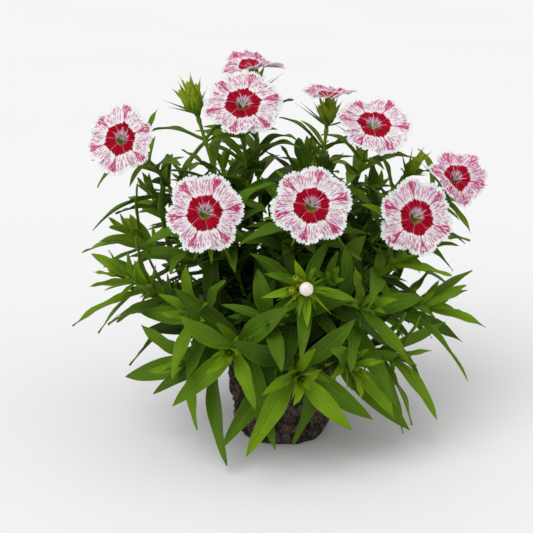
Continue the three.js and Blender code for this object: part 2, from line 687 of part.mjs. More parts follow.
function growStem(plan, foot) {
  for (const bow of BOWS) {
    const stem = { ...stemCurve(foot, plan.tip, plan.facing, bow), radius: plan.radius, roll: plan.roll };
    stem.stations = stemStations(plan, stem.curve.getLength());
    const test = stemSolid(stem, LEAF_CLEARANCE);
    if (!isClear(test, (other) => other.owner === plan.name || other.kind === "ball")) continue;
    place(plan.name, "stem", stemSolid(stem));
    return stem;
  }
  throw new Error(`${plan.name} finds no way clear of its neighbours`);
}

function growLeaf(plan, pair, turn, jitter) {
  for (const [swing, lift, share] of LEAF_TRIES) {
    const length = plan.leaf * pair.size * jitter.length * share;
    const width = Math.min(length * LEAF_SLIMNESS * pair.slim, LEAF_MAX_WIDTH);
    const splay = pair.splay + jitter.splay - lift;
    const leaf = makeLeaf(plan.stem, pair.t, turn + swing, splay, length, width, plan.recurve, jitter.droop);
    const test = leafTest(leaf, ROOT_REACH);
    if (test.boundingBox().min[2] < FLOOR_CLEARANCE) continue;
    if (!isClear(test, (other) => other.owner === plan.name)) continue;
    if (!isClear(leafTest(leaf, OWN_REACH), (other) => other.owner !== plan.name)) continue;
    place(plan.name, "leaf", test);
    return leaf;
  }
  return null;
}

// The leaf pairs of one stem, each pair square to the one above it.
function growLeaves(plan) {
  const random = randomSeries(plan.seed * 977);
  const leaves = [];
  plan.pairs.forEach((pair, k) => {
    for (const half of [0, 2]) {
      const side = (k + half) % STEM_SIDES;
      const turn = plan.roll + 90 * side + TURN_SPREAD * (random() - 0.5);
      const jitter = {
        length: 1 + LENGTH_SPREAD * (random() - 0.5),
        splay: SPLAY_SPREAD * (random() - 0.5),
        droop: LEAST_DROOP + DROOP_SPREAD * random(),
      };
      const leaf = growLeaf(plan, pair, turn, jitter);
      if (leaf) leaves.push({ pair, side, rings: leafRings(leaf) });
    }
  });
  return leaves;
}

const plans = stemPlans();
const feet = stemFeet(plans.map((plan) => plan.tip));
const ball = place("root_ball", "ball", ballSolid());
plans.forEach((plan, i) => {
  plan.stem = growStem(plan, feet[i]);
});

const holes = plans.map((plan) => stemSolid(plan.stem, HOLE_GAP));
addNode("root_ball", ball.subtract(joined(holes)), MATERIALS.soil);
for (const plan of plans) {
  const leaves = growLeaves(plan);
  const grown = grownSolid(plan.stem, leaves);
  addNode(plan.name, plan.head ? joined([grown, plan.head]) : grown, MATERIALS.leaf);
}
for (const { owner, kind, solid } of placed) {
  if (kind === "corolla") addNode(owner, solid, MATERIALS.petal);
}

export default plant;
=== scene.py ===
"""The looks of a flowering dianthus plant with a bare root ball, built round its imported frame.

Sizes are in millimetres and degrees, as in the part's source, and Piece turns them into metres.
Directions are [turn, rise]: turn 0 points to the front (-Y), 90 to the right (+X).
"""

import math

import bpy
import numpy as np
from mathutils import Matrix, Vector, noise


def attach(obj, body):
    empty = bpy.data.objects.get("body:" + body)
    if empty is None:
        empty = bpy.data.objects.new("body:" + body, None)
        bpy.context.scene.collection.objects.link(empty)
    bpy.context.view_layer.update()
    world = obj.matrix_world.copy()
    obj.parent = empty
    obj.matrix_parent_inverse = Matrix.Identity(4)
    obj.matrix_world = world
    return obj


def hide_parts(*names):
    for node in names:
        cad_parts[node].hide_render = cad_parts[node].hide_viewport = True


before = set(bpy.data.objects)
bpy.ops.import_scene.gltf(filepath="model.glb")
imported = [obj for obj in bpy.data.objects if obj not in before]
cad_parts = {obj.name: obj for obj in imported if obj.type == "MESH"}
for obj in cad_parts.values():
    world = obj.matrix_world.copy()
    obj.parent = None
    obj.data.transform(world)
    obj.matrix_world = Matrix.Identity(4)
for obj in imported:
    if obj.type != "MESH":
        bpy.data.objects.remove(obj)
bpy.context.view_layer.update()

MM = 0.001
UP = np.array([0.0, 0.0, 1.0])
RIGHT = np.array([1.0, 0.0, 0.0])

# ---- sizes shared with the part's source ----
BALL_HEIGHT = 60
BALL_TOP_RADIUS = 36
BALL_BASE_RADIUS = 26
BALL_EDGE = 4
BALL_RELIEF = 1.1

SEAT_DEPTH = 9
CROWN_RADIUS = 25
CROWN_SPREAD = 0.34
FOOT_SPACING = 6.2
SPACING_ROUNDS = 80
STEM_RISE = 0.4
STEM_LEAN = 0.08
STEM_ARRIVAL = 0.34
UPPER_BOW = 0.6
STEM_SIDES = 4
SHOOT_RADIUS = 1.4
FLOWER_STEM_RADIUS = 1.6
TIP_RADIUS = 1
NODE_HALF = 1.1
NODE_SWELL = 0.35
LONGEST_SPAN = 0.27
BOWS = [0, 5, -5, 10, -10, 15, -15, 20, -20, 26, -26]

LEAF_FOLD = 0.28
LEAF_SLIMNESS = 0.24
LEAF_MAX_WIDTH = 12.5
SHOOT_RECURVE = 0.2
FLOWER_RECURVE = 0.36
LIGHT_TURN = 0.3
LONGEST_FLOWER_LEAF = 50
LONGEST_BUD_LEAF = 47
TURN_SPREAD = 24
SPLAY_SPREAD = 12
LENGTH_SPREAD = 0.24
LEAST_DROOP = 0.02
DROOP_SPREAD = 0.13
# [turn about the stem, lift, share of the length]: the places a leaf may have; the frame holds one of them.
LEAF_TRIES = [
    [0, 0, 1], [0, 12, 1], [0, -12, 1], [16, 0, 1], [-16, 0, 1], [16, 14, 0.95], [-16, 14, 0.95],
    [14, -14, 0.95], [-14, -14, 0.95], [0, 24, 0.9], [0, -24, 0.9], [30, 6, 0.85], [-30, 6, 0.85],
    [0, 0, 0.75], [24, 24, 0.8], [-24, 24, 0.8], [0, 36, 0.8], [40, 0, 0.75], [-40, 0, 0.75], [0, 0, 0.55],
]
# Leaf pairs from the tip down: place on the stem, splay, size as a share of the longest leaf, slimness.
SHOOT_LEAVES = [
    [0.985, 28, 0.48, 0.85], [0.92, 47, 0.8, 0.95], [0.8, 58, 1.06, 0.95], [0.66, 65, 1.16, 0.9],
    [0.5, 64, 1.14, 0.9],
]
FLOWER_LEAVES = [
    [0.97, 34, 0.48, 0.5], [0.88, 42, 0.82, 0.56], [0.75, 48, 1.06, 0.62], [0.6, 52, 1.18, 0.68],
    [0.44, 58, 1.16, 0.8],
]

BLOOM_RADIUS = 20.5
PETALS = 6
PETAL_TILT = 1.3
PETAL_LOBE = 3.9
PETAL_WAVE = 0.5
THROAT_DIP = 2.4
CALYX_LENGTH = 15
CALYX_TOP = -2.3
CALYX_RADIUS = 2.9
SIDE_BUD_LEAN = 30
SIDE_BUD_SIZE = 0.8
SIDE_BUD_TURN = 2.4
BUD_GROUP_TURN = 0.6
MIDDLE_BUD_SIZE = 1.15

# Of each bloom: middle of its throat, facing, turn in its own plane, size, degrees of cupping and of folding,
# the fold's turn, side buds, how much more pink than usual it has, partly as painted shade, and degrees that
# its upper petals tip.
BLOOM_FIELDS = ["at", "face", "roll", "size", "cup", "fold", "fold_turn", "buds", "extra_pink_and_shade", "tip"]
BLOOMS = [dict(zip(BLOOM_FIELDS, bloom)) for bloom in [
    [[-89, -20, 180], [-17, 24], 24, 0.96, 3, 3, 40, 1, 0, 0],
    [[-22.5, -10, 197.5], [0, 45], 14, 1.05, 1, 2, 90, 2, 0, 0],
    [[-17, 32, 211], [190, 80], 10, 0.96, 6, 12, 110, 1, 0.05, 14],
    [[27, 25, 195], [140, 80], 40, 0.78, 12, 6, 0, 3, 0.05, 10],
    [[50, -5, 185], [16, 55], 45, 1.05, 2, 4, 10, 1, 0, 0],
    [[14, -62, 154], [4, 22], 14, 1.03, 1, 2, 60, 0, 0, 0],
    [[-42, -58, 149], [-4, 22], 10, 1.04, 0, 2, 20, 0, 0, 0],
    [[72, -35, 140], [22, 20], 33, 1.08, 1, 3, 100, 1, 0.01, 0],
    [[97, -4, 154], [22, 32], 40, 0.86, 10, 20, 30, 1, 0.05, 0],
]]
BUD_STEMS = [
    dict(at=[-48.5, 6, 189], face=[-75, 74], buds=4, size=1.1, lean=22, opening=False),
    dict(at=[11, -73, 113], face=[0, 14], buds=3, size=0.6, lean=40, opening=True),
    dict(at=[70, 6, 154], face=[62, 52], buds=1, size=0.95, lean=24, opening=False),
]
# The shoots without flowers: tip, facing, turn of the last leaf pair, leaf pairs, longest leaf, and the share
# of the usual splay and width that their leaves have.
SHOOTS = [
    [[-28, -70, 76], [-16, 10], 40, 5, 54, 1], [[8, -76, 64], [6, 4], 50, 5, 52, 1],
    [[-50, -56, 92], [-40, 26], 20, 5, 48, 1], [[-88, -28, 104], [-74, 38], 75, 4, 52, 0.68],
    [[-86, -6, 122], [-82, 42], 0, 4, 54, 0.7], [[-74, 16, 138], [-98, 56], 45, 4, 50, 0.75],
    [[44, -58, 96], [40, 26], 15, 5, 50, 1], [[82, -26, 86], [80, 14], 35, 3, 60, 0.68],
    [[36, -62, 64], [34, 2], 40, 5, 54, 1], [[-52, -50, 62], [-46, 4], 30, 4, 54, 1],
    [[62, -38, 60], [60, 4], 30, 4, 56, 0.8], [[62, -34, 116], [58, 44], 5, 4, 50, 0.85],
    [[82, 10, 118], [88, 40], 20, 4, 52, 0.72], [[68, 24, 68], [108, 12], 0, 4, 56, 0.72],
    [[48, 58, 72], [140, 12], 30, 4, 50, 1], [[12, 72, 68], [170, 12], 10, 4, 50, 1],
    [[-26, 68, 70], [200, 10], 40, 4, 50, 1], [[-58, 46, 68], [232, 12], 15, 4, 50, 1],
    [[-70, 10, 80], [264, 14], 25, 4, 56, 0.72], [[56, 40, 134], [128, 56], 12, 4, 48, 0.85],
    [[24, 56, 142], [162, 56], 33, 4, 48, 0.85], [[-26, 54, 142], [204, 58], 3, 4, 48, 0.85],
    [[-56, 38, 138], [236, 56], 28, 4, 48, 0.85], [[6, -34, 132], [-10, 66], 20, 4, 46, 1],
    [[-34, 14, 154], [200, 78], 40, 4, 46, 0.85], [[14, 20, 160], [150, 80], 20, 4, 48, 0.85],
    [[-9, -66, 92], [-8, 26], 15, 4, 50, 1], [[24, -56, 108], [20, 44], 60, 4, 46, 1],
    [[-54, -30, 124], [-50, 56], 50, 4, 44, 1],
]
LOW_SHOOTS = 19  # so many, from the first, form the fresh skirt; the rest stand among the stems


# ---- vectors and numbers ----

def vec(values):
    return np.array(values, float)


def unit(v):
    return v / np.linalg.norm(v, axis=-1, keepdims=True)


def direction(turn, rise):
    t, r = math.radians(turn), math.radians(rise)
    return vec([math.sin(t) * math.cos(r), -math.cos(t) * math.cos(r), math.sin(r)])


def squared(v, along):
    """What is left of v at right angles to the unit vectors along, at length 1."""
    return unit(v - along * np.sum(v * along, axis=-1, keepdims=True))


def turned(a, b, angle):
    """The directions at each angle, in radians, from a towards b."""
    angle = np.asarray(angle)[..., None]
    return a * np.cos(angle) + b * np.sin(angle)


def axes_of(at, along):
    level = squared(UP if abs(along[2]) < 0.95 else RIGHT, along)
    return at, along, level, np.cross(along, level)


def around(axes, turn):
    """The direction away from axes at `turn` degrees round them."""
    return turned(axes[2], axes[3], math.radians(turn))


def smoothstep(x, low, high):
    t = np.clip((x - low) / (high - low), 0, 1)
    return t * t * (3 - 2 * t)


def lerp(a, b, t):
    return a + (b - a) * t


def random_series(seed):
    """Repeatable random numbers from 0 to 1, the same as in the part's source."""
    state = seed
    while True:
        state = (state * 16807) % 2147483647
        yield state / 2147483647


def between(random, low, high):
    return lerp(low, high, next(random))


# ---- pieces: meshes in millimetres that become objects in metres ----

SHARP_ANGLE = 52


def new_object(name, data):
    made = bpy.data.objects.new(name, data)
    bpy.context.scene.collection.objects.link(made)
    return made


def grid_faces(rows, columns, closed=False):
    """Quads over a grid of rows x columns points; closed joins the last column to the first."""
    i, j = np.meshgrid(np.arange(rows - 1), np.arange(columns if closed else columns - 1), indexing="ij")
    k = (j + 1) % columns
    below, above = i * columns, (i + 1) * columns
    return np.stack([below + j, below + k, above + k, above + j], axis=-1).reshape(-1, 4)


def sheet_faces(rows, columns):
    """Quads of a closed sheet: an upper grid of points, a lower one after it, and the rim between them."""
    upper = grid_faces(rows, columns)
    count = rows * columns
    left = np.arange(rows - 1) * columns
    near = np.arange(columns - 1)
    rim = [
        np.stack([left, left + columns, left + columns + count, left + count], axis=-1),
        np.stack([left + columns, left, left + count, left + columns + count], axis=-1) + (columns - 1),
        np.stack([near + 1, near, near + count, near + 1 + count], axis=-1),
        np.stack([near, near + 1, near + 1 + count, near + count], axis=-1) + (rows - 1) * columns,
    ]
    return np.concatenate([upper, upper[:, ::-1] + count, *rim]).tolist()


def sheet_marks(along, across):
    """Marks of a closed sheet: [place along, place across, 0 on its upper and 1 on its lower grid]."""
    upper = np.stack([*np.broadcast_arrays(along, across, 0.0)], axis=-1)
    return np.concatenate([upper, upper + [0, 0, 1]])


class Piece:
    """Collects closed skins, each with a material and a tone, and becomes one object."""

    def __init__(self):
        self.points, self.faces, self.slots, self.marks, self.tones = [], [], [], [], []
        self.count = 0

    def add(self, skin, material, tone=(0, 0, 0)):
        """Adds a skin: its points, its faces, and a mark for each point."""
        points, faces, marks = skin
        points = points.reshape(-1, 3)
        self.points.append(points)
        self.faces += [[v + self.count for v in face] for face in faces]
        self.slots += [material] * len(faces)
        self.marks.append(marks.reshape(-1, 3))
        self.tones.append(np.broadcast_to(vec(tone), points.shape))
        self.count += len(points)

    def build(self, node, materials):
        """Makes the object, in the place of the frame's node."""
        name = f"fine_{node}"
        mesh = bpy.data.meshes.new(name)
        mesh.from_pydata((np.concatenate(self.points) * MM).tolist(), [], self.faces)
        for material in materials:
            mesh.materials.append(material)
        mesh.polygons.foreach_set("material_index", self.slots)
        mesh.polygons.foreach_set("use_smooth", [True] * len(self.faces))
        for title, values in (("marks", self.marks), ("tone", self.tones)):
            attribute = mesh.attributes.new(title, "FLOAT_VECTOR", "POINT")
            attribute.data.foreach_set("vector", np.concatenate(values).astype(np.float32).ravel())
        mesh.set_sharp_from_angle(angle=math.radians(SHARP_ANGLE))
        mesh.update()
        piece = new_object(name, mesh)
        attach(piece, "root")
        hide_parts(node)


def capped(points, first, last, rows, sides):
    """A skin over rings of points, with a point at each end, and marks of [place along, place round, 0]."""
    faces = grid_faces(rows, sides, closed=True).tolist()
    start, end = rows * sides, rows * sides + 1
    top = (rows - 1) * sides
    for j in range(sides):
        k = (j + 1) % sides
        faces.append([start, k, j])
        faces.append([end, top + j, top + k])
    t, a = np.meshgrid(np.linspace(0, 1, rows), np.arange(sides) / sides, indexing="ij")
    marks = np.stack([t, a, np.zeros_like(t)], axis=-1).reshape(-1, 3)
    return np.vstack([points, first, last]), faces, np.vstack([marks, [0, 0, 0], [1, 0, 0]])


def tube(line, radii, sides):
    """The skin of a tube round a line of points."""
    line = np.asarray(line, float)
    along = unit(np.gradient(line, axis=0))
    flattest = int(np.argmin(np.abs(along).mean(axis=0)))
    level = squared(np.eye(3)[flattest], along)
    square = np.cross(along, level)
    angle = np.arange(sides) * 2 * math.pi / sides
    points = line[:, None] + turned(level[:, None], square[:, None], angle) * radii[:, None, None]
    return capped(points.reshape(-1, 3), line[0], line[-1], len(line), sides)


RIM_TOOTH = 1.8


def spun(profile, sides, at, along, ribs=0, rib_depth=0.0, hollow=()):
    """The skin of a turned body along `along`, from [radius, height] pairs.

    A hollow, of more such pairs, leads down inside from a toothed rim, which has one tooth for three ribs.
    """
    level = squared(UP if abs(along[2]) < 0.9 else RIGHT, along)
    square = np.cross(along, level)
    angle = np.arange(sides) * 2 * math.pi / sides
    profile = np.asarray(profile, float)
    radius = profile[:, :1] * (1 + rib_depth * np.cos(ribs * angle))
    height = np.repeat(profile[:, 1:], sides, axis=1)
    if len(hollow):
        height[-1] += RIM_TOOTH * (1 - np.abs(angle * ribs / 3 / math.pi % 2 - 1))
        inside = vec(hollow)
        radius = np.vstack([radius, np.repeat(inside[:, :1], sides, axis=1)])
        height = np.vstack([height, np.repeat(inside[:, 1:], sides, axis=1)])
        profile = np.vstack([profile, inside])
    points = at + radius[..., None] * turned(level, square, angle) + height[..., None] * along
    first, last = at + along * profile[0, 1], at + along * profile[-1, 1]
    return capped(points.reshape(-1, 3), first, last, len(profile), sides)


PROFILE_STEPS = 14
LEAST_RADIUS = 0.02


def smooth_profile(points):
    """A rounded profile through [radius, height] pairs, by a Catmull-Rom curve."""
    p = vec(points)
    p = np.vstack([2 * p[0] - p[1], p, 2 * p[-1] - p[-2]])
    t = np.linspace(0, 1, PROFILE_STEPS // (len(p) - 3) + 2)[:-1, None]
    out = []
    for a, b, c, d in zip(p, p[1:], p[2:], p[3:]):
        bend, swing = 2 * a - 5 * b + 4 * c - d, -a + 3 * b - 3 * c + d
        out.append((2 * b + (c - a) * t + bend * t * t + swing * t ** 3) / 2)
    out = np.vstack([*out, p[-2]])
    return np.column_stack([np.maximum(out[:, 0], LEAST_RADIUS), out[:, 1]])


# ---- stems, found again in the frame ----

SAME_POINT = 0.03  # how near a corner of the frame has to be


def is_corner(plan, point):
    """Whether a point is a corner of the frame's node, and so was in the part's source."""
    return np.linalg.norm(plan["corners"] - point, axis=1).min() < SAME_POINT


def stem_feet(tips):
    """Where the stems leave the root ball: below their tips, but drawn in, and pushed apart."""
    feet = [[tip[0] * CROWN_SPREAD, tip[1] * CROWN_SPREAD] for tip in tips]
    for _ in range(SPACING_ROUNDS):
        for i, a in enumerate(feet):
            for b in feet[i + 1:]:
                dx, dy = b[0] - a[0], b[1] - a[1]
                distance = math.hypot(dx, dy)
                if distance >= FOOT_SPACING:
                    continue
                push = (FOOT_SPACING - distance) / 2 / distance
                a[0], a[1] = a[0] - dx * push, a[1] - dy * push
                b[0], b[1] = b[0] + dx * push, b[1] + dy * push
        for foot in feet:
            shrink = min(1, CROWN_RADIUS / math.hypot(*foot))
            foot[0], foot[1] = foot[0] * shrink, foot[1] * shrink
    return feet


class Stem:
    """A stem's centre line, and its cross axes at each place t from 0 in the soil to 1 at the tip."""

    NEARBY = 0.0001
    MEASURE = np.linspace(0, 1, 201)

    def __init__(self, plan, foot, bow):
        start = vec([foot[0], foot[1], BALL_HEIGHT - SEAT_DEPTH])
        reach = np.linalg.norm(plan["tip"] - start)
        outward = unit(vec([plan["tip"][0] - foot[0], plan["tip"][1] - foot[1], 0]))
        self.sideways = vec([-outward[1], outward[0], 0])
        first = start + outward * reach * STEM_LEAN + UP * reach * STEM_RISE + self.sideways * bow
        second = plan["tip"] - plan["facing"] * reach * STEM_ARRIVAL + self.sideways * bow * UPPER_BOW
        self.ends = [start, first, second, plan["tip"]]
        self.radius = plan["radius"]
        self.roll = plan["roll"]
        steps = np.diff(self.point(self.MEASURE), axis=0)
        self.length = float(np.linalg.norm(steps, axis=1).sum())

    def point(self, t):
        t = np.asarray(t, float)[..., None]
        a, b, c, d = self.ends
        return a * (1 - t) ** 3 + 3 * b * (1 - t) ** 2 * t + 3 * c * (1 - t) * t * t + d * t ** 3

    def axes(self, t):
        t = np.asarray(t, float)
        along = unit(self.point(np.minimum(t + self.NEARBY, 1)) - self.point(np.maximum(t - self.NEARBY, 0)))
        level = squared(self.sideways, along)
        return self.point(t), along, level, np.cross(along, level)

    def corner(self, t, radius):
        """The first corner of the frame's square ring at t."""
        axes = self.axes(t)
        return axes[0] + around(axes, self.roll - 180 / STEM_SIDES) * radius

    def first_ring(self, pairs):
        """Where the frame's stem has its second ring, and its radius there."""
        low = pairs[-1][0] - NODE_HALF / self.length
        spans = math.ceil(low / LONGEST_SPAN)
        t = low / spans
        return t, lerp(self.radius, TIP_RADIUS, t) + (NODE_SWELL if spans == 1 else 0)


def find_stem(plan, foot):
    for bow in BOWS:
        stem = Stem(plan, foot, bow)
        if is_corner(plan, stem.corner(*stem.first_ring(plan["pairs"]))):
            return stem
    raise RuntimeError(f"the frame's {plan['name']} follows none of the known bows")


# ---- blades: leaves, bracts and scales ----

class Blade:
    """A blade that leaves `axes` at `turn` round them and `splay` away from their direction.

    Its midrib bows sideways by `bow` in its middle, and it twists by `twist` degrees up to its tip.
    """

    def __init__(self, axes, turn, splay, length, width, droop, recurve, bow=0.0, twist=0.0):
        self.root, along = axes[:2]
        self.side = around(axes, turn + 90)
        self.start = turned(along, around(axes, turn), math.radians(splay))
        self.bend = -recurve * along - droop * UP
        self.length, self.width = length, width
        self.bow, self.twist = bow, math.radians(twist)

    def axes(self, t):
        t = np.asarray(t, float)[..., None]
        at = self.root + self.start * self.length * t + self.bend * self.length * t * t
        at = at + self.side * self.bow * 4 * t * (1 - t)
        along = unit(self.start + self.bend * 2 * t)
        face = np.cross(along, squared(self.side, along))
        normal = squared(face + UP * LIGHT_TURN * t, along)
        side = np.cross(normal, along)
        angle = self.twist * t[..., 0]
        return at, turned(side, normal, angle), turned(normal, -side, angle)


def leaf_outline(t):
    return (0.42 + 0.58 * smoothstep(t, 0, 0.46)) * (1 - np.power(t, 3.2)) / 0.93


def needle_outline(t):
    return (1 - t) * (0.55 + 0.45 * smoothstep(t, 0, 0.3)) / 0.75


def scale_outline(t):
    """A scale of a bud or calyx: broad low down, then drawn out into a needle."""
    return np.maximum(1 - smoothstep(t, 0.3, 1.0), 0.2 * (1 - t)) * (0.35 + 0.65 * smoothstep(t, 0, 0.22))


def blade_grid(rows, across):
    return rows, vec(across), sheet_faces(rows, len(across))


BLADE_GRID = blade_grid(17, [-1, -0.72, -0.38, -0.12, 0, 0.12, 0.38, 0.72, 1])
SMALL_GRID = blade_grid(9, [-1, -0.4, 0, 0.4, 1])
BLADE_START = 0.6  # how far from its stem's middle a blade begins
LEAST_HALF = 0.12  # half the least width
SHEATH = 0.7  # how much more a leaf is folded at its foot
BLADE_CURVE = 1.45  # 1 is a sharp fold, and more is rounder
MIDRIB = 0.5  # half the width of the midrib's groove
GROOVE = 0.25
BLADE_EDGE = 0.22  # thickness at the edge, and what the middle and the rib add
BLADE_BODY = 0.22
BLADE_RIB = 0.42
THINNING = 1.2  # half width below which a blade gets thinner
WAVES = 2.3


def add_blade(piece, blade, material, tone, outline=leaf_outline, fold=LEAF_FOLD, wave=0.0, phase=0.0,
              small=False):
    """Adds a blade that is folded and gently waved, with a midrib's groove above and its rib below."""
    rows, across, faces = SMALL_GRID if small else BLADE_GRID
    t = lerp(BLADE_START / blade.length, 1, np.linspace(0, 1, rows))
    at, side, normal = (x[:, None] for x in blade.axes(t))
    t, s = t[:, None], across[None]
    half = np.maximum(blade.width / 2 * outline(t), LEAST_HALF)
    sheath = 0 if small else SHEATH * (1 - smoothstep(t, 0, 0.16))
    groove = np.exp(-((s * half / MIDRIB) ** 2)) * smoothstep(t, 0.02, 0.12) * (1 - t)
    swing = np.sin(2 * math.pi * (WAVES * t + phase) + 1.3 * s)
    ripple = wave * swing * s * s * smoothstep(t, 0.1, 0.4)
    lift = half * (fold + sheath) * np.abs(s) ** BLADE_CURVE - GROOVE * groove + ripple
    upper = at + side * (half * s)[..., None] + normal * lift[..., None]
    body = (BLADE_EDGE + BLADE_BODY * (1 - s * s) + BLADE_RIB * groove) * np.minimum(1, half / THINNING)
    lower = upper - normal * body[..., None]
    piece.add((np.concatenate([upper, lower]), faces, sheet_marks(t, s)), material, tone)


def grow(piece, axes, turn, splay, length, width, droop, recurve, *looks, **more):
    """Adds a straight blade, with the looks that add_blade takes."""
    add_blade(piece, Blade(axes, turn, splay, length, width, droop, recurve), *looks, **more)


LEAF, STEM = 0, 1  # material places in a foliage piece; a tone there is [age and painted depth shade, shade, 1 on calyces and buds]
DOME_MIDDLE = vec([0, 0, 84])
DOME_REACH = vec([100, 90, 75])
# painted shade: leaves deep inside the foliage are given this much more age, which paints them darker green
DEPTH_PAINTED_SHADE = 0.9
AGE_SPREAD = 0.2
BOW_SPREAD = 3
TWIST_SPREAD = 28


def depth(at):
    """How deep a place lies inside the foliage: 0 at its outside, 1 in its middle."""
    return max(0.0, 1 - float(np.linalg.norm((at - DOME_MIDDLE) / DOME_REACH)))


def pair_turn(i):
    """The turn of leaf i in opposite pairs, each across the last."""
    return 90 * (i // 2) + 180 * (i % 2)


TUFT_LEAVES = [[38, 1], [38, 1], [16, 0.62], [16, 0.62]]  # least splay, share of the tuft's size
TUFT_SLIMNESS = 0.22
TUFT_FRESHNESS = 0.1  # how much younger a tuft is than its stem


def grow_tuft(piece, axes, turn, age, random):
    """The small leaves of a side shoot in the axil of the leaf at `turn`."""
    at, along = axes[:2]
    out = around(axes, turn)
    lean = math.radians(between(random, 24, 38))
    tuft = axes_of(at + out * 0.6, unit(turned(along, out, lean)))
    size = between(random, 12, 27)
    for i, (least, share) in enumerate(TUFT_LEAVES):
        length = size * share * between(random, 0.85, 1.15)
        splay, width = between(random, least, least + 16), length * TUFT_SLIMNESS
        grow(piece, tuft, pair_turn(i) + turn, splay, length, width, 0.03, 0.12,
             LEAF, (age, next(random), 0), small=True)


def grow_leaves(piece, plan):
    """The leaves that the frame has, each with its own age, painted shade by depth, bow and twist, and tufts
    in their axils.
    """
    stem, random, own = plan["stem"], random_series(plan["seed"] * 977), random_series(plan["seed"] * 131 + 7)
    for k, (t, splay, size, slim) in enumerate(plan["pairs"]):
        axes = stem.axes(t)
        for half in (0, 2):
            turn = stem.roll + 90 * ((k + half) % STEM_SIDES) + TURN_SPREAD * (next(random) - 0.5)
            stretch = 1 + LENGTH_SPREAD * (next(random) - 0.5)
            tilt = SPLAY_SPREAD * (next(random) - 0.5)
            droop = LEAST_DROOP + DROOP_SPREAD * next(random)
            age = plan["age"] + plan["ageing"] * k + AGE_SPREAD * (next(own) - 0.5)
            shade, phase = next(own), next(own)
            bow, twist = BOW_SPREAD * (next(own) - 0.5), TWIST_SPREAD * (next(own) - 0.5)
            for swing, lift, share in LEAF_TRIES:
                length = plan["leaf"] * size * stretch * share
                width = min(length * LEAF_SLIMNESS * slim, LEAF_MAX_WIDTH)
                way = turn + swing, splay + tilt - lift
                blade = Blade(axes, *way, length, width, droop, plan["recurve"], bow, twist)
                tip = blade.axes(1.0)[0]
                if is_corner(plan, tip):
                    # painted shade: the deeper the leaf lies in the foliage, the darker green it is painted
                    age += DEPTH_PAINTED_SHADE * depth((axes[0] + tip) / 2)
                    add_blade(piece, blade, LEAF, (age, shade, 0), wave=lerp(0.3, 0.8, phase), phase=phase)
                    break
            if plan["tufts"] and 0 < k < 4:
                # painted shade: tufts deep in the foliage are painted darker green
                depth_shaded_tuft_age = plan["age"] + DEPTH_PAINTED_SHADE * depth(axes[0]) - TUFT_FRESHNESS
                grow_tuft(piece, axes, turn, depth_shaded_tuft_age, own)


# Places on a stem of the small leaves that fill the plant's inside.
SHOOT_INNER = [0.16, 0.24, 0.32, 0.41]
BUD_INNER = [0.16, 0.22, 0.28, 0.35, 0.43, 0.5, 0.58, 0.66]
FLOWER_INNER = BUD_INNER + [0.74, 0.82, 0.9]
INNER_HEIGHT = 0.66, 0.8  # where along a stem they turn into the shorter and fresher ones high on it
INNER_AGES = 0.5, 0.12  # low and high on a stem
INNER_SHORTENING = 0.3
INNER_RECURVE = 0.26
SOIL_CLEARANCE = 4
BLOOM_FRONT = 50  # how far in front of a bloom and behind it no such leaf may stand
BLOOM_BACK = -7


def hides_a_bloom(points):
    """Whether any of the points is at a bloom's petals or in front of them."""
    for bloom in BLOOMS:
        at, normal = vec(bloom["at"]), direction(*bloom["face"])
        ahead = (points - at) @ normal
        aside = np.linalg.norm(points - at - ahead[:, None] * normal, axis=1)
        reach = BLOOM_RADIUS * bloom["size"] + 1
        if ((aside < reach) & (ahead > BLOOM_BACK) & (ahead < BLOOM_FRONT)).any():
            return True
    return False


def inner_leaves(piece, plan):
    """The small leaves along a stem, which fill the inside of the plant."""
    stem, random = plan["stem"], random_series(plan["seed"] * 53 + 3)
    for k, t in enumerate(plan["inner"]):
        axes = stem.axes(t)
        high = smoothstep(t, *INNER_HEIGHT)
        for half in (0, 1):
            turn = stem.roll + 90 * k + 180 * half + between(random, 20, 70)
            length, splay = between(random, 28, 48), between(random, 34, 68)
            slim, droop, shade = between(random, 0.15, 0.21), between(random, 0.02, 0.14), next(random)
            length *= 1 - INNER_SHORTENING * high
            blade = Blade(axes, turn, splay, length, length * slim, droop, INNER_RECURVE)
            line = blade.axes(np.linspace(0, 1, 12))[0]
            if line[-1][2] > BALL_HEIGHT + SOIL_CLEARANCE and not hides_a_bloom(line):
                # painted shade: inner leaves deep in the foliage are painted darker green
                age = lerp(*INNER_AGES, high) + DEPTH_PAINTED_SHADE * depth(line[len(line) // 2])
                add_blade(piece, blade, LEAF, (age, shade, 0), small=True)


FINE_SWELL = 0.6
SWELL_REACH = 1.7
FOOT_SHARE = 0.8  # thickness of a stem's foot as a share of the frame's


def stem_tube(piece, plan):
    """The stem, swollen at each leaf pair."""
    stem = plan["stem"]
    places = np.array([pair[0] for pair in plan["pairs"]])
    near = [places + d / stem.length for d in (-2, -1, 0, 1, 2)]
    t = np.unique(np.concatenate([np.linspace(0.03, 1, 26), *near]))
    t = t[t <= 1]
    radius = lerp(stem.radius * FOOT_SHARE, TIP_RADIUS * plan["tip_share"], t)
    for place in places:
        radius += FINE_SWELL * np.exp(-(((t - place) * stem.length / SWELL_REACH) ** 2))
    piece.add(tube(stem.point(t), radius, 10), STEM, (plan["age"], 0.5, 0))


TIP_LEAVES = [[9, 9], [9, 8.5], [22, 15], [22, 14]]  # splay, length


def tip_leaves(piece, plan):
    """The youngest leaves of a shoot, still folded round its growing point."""
    stem, age = plan["stem"], plan["age"] - 0.1
    for i, (splay, length) in enumerate(TIP_LEAVES):
        grow(piece, stem.axes(1.0), stem.roll + pair_turn(i), splay, length, length * 0.3, 0.02, 0.04,
             LEAF, (age, 0.6, 0), fold=0.7, small=True)


# ---- calyces and buds ----

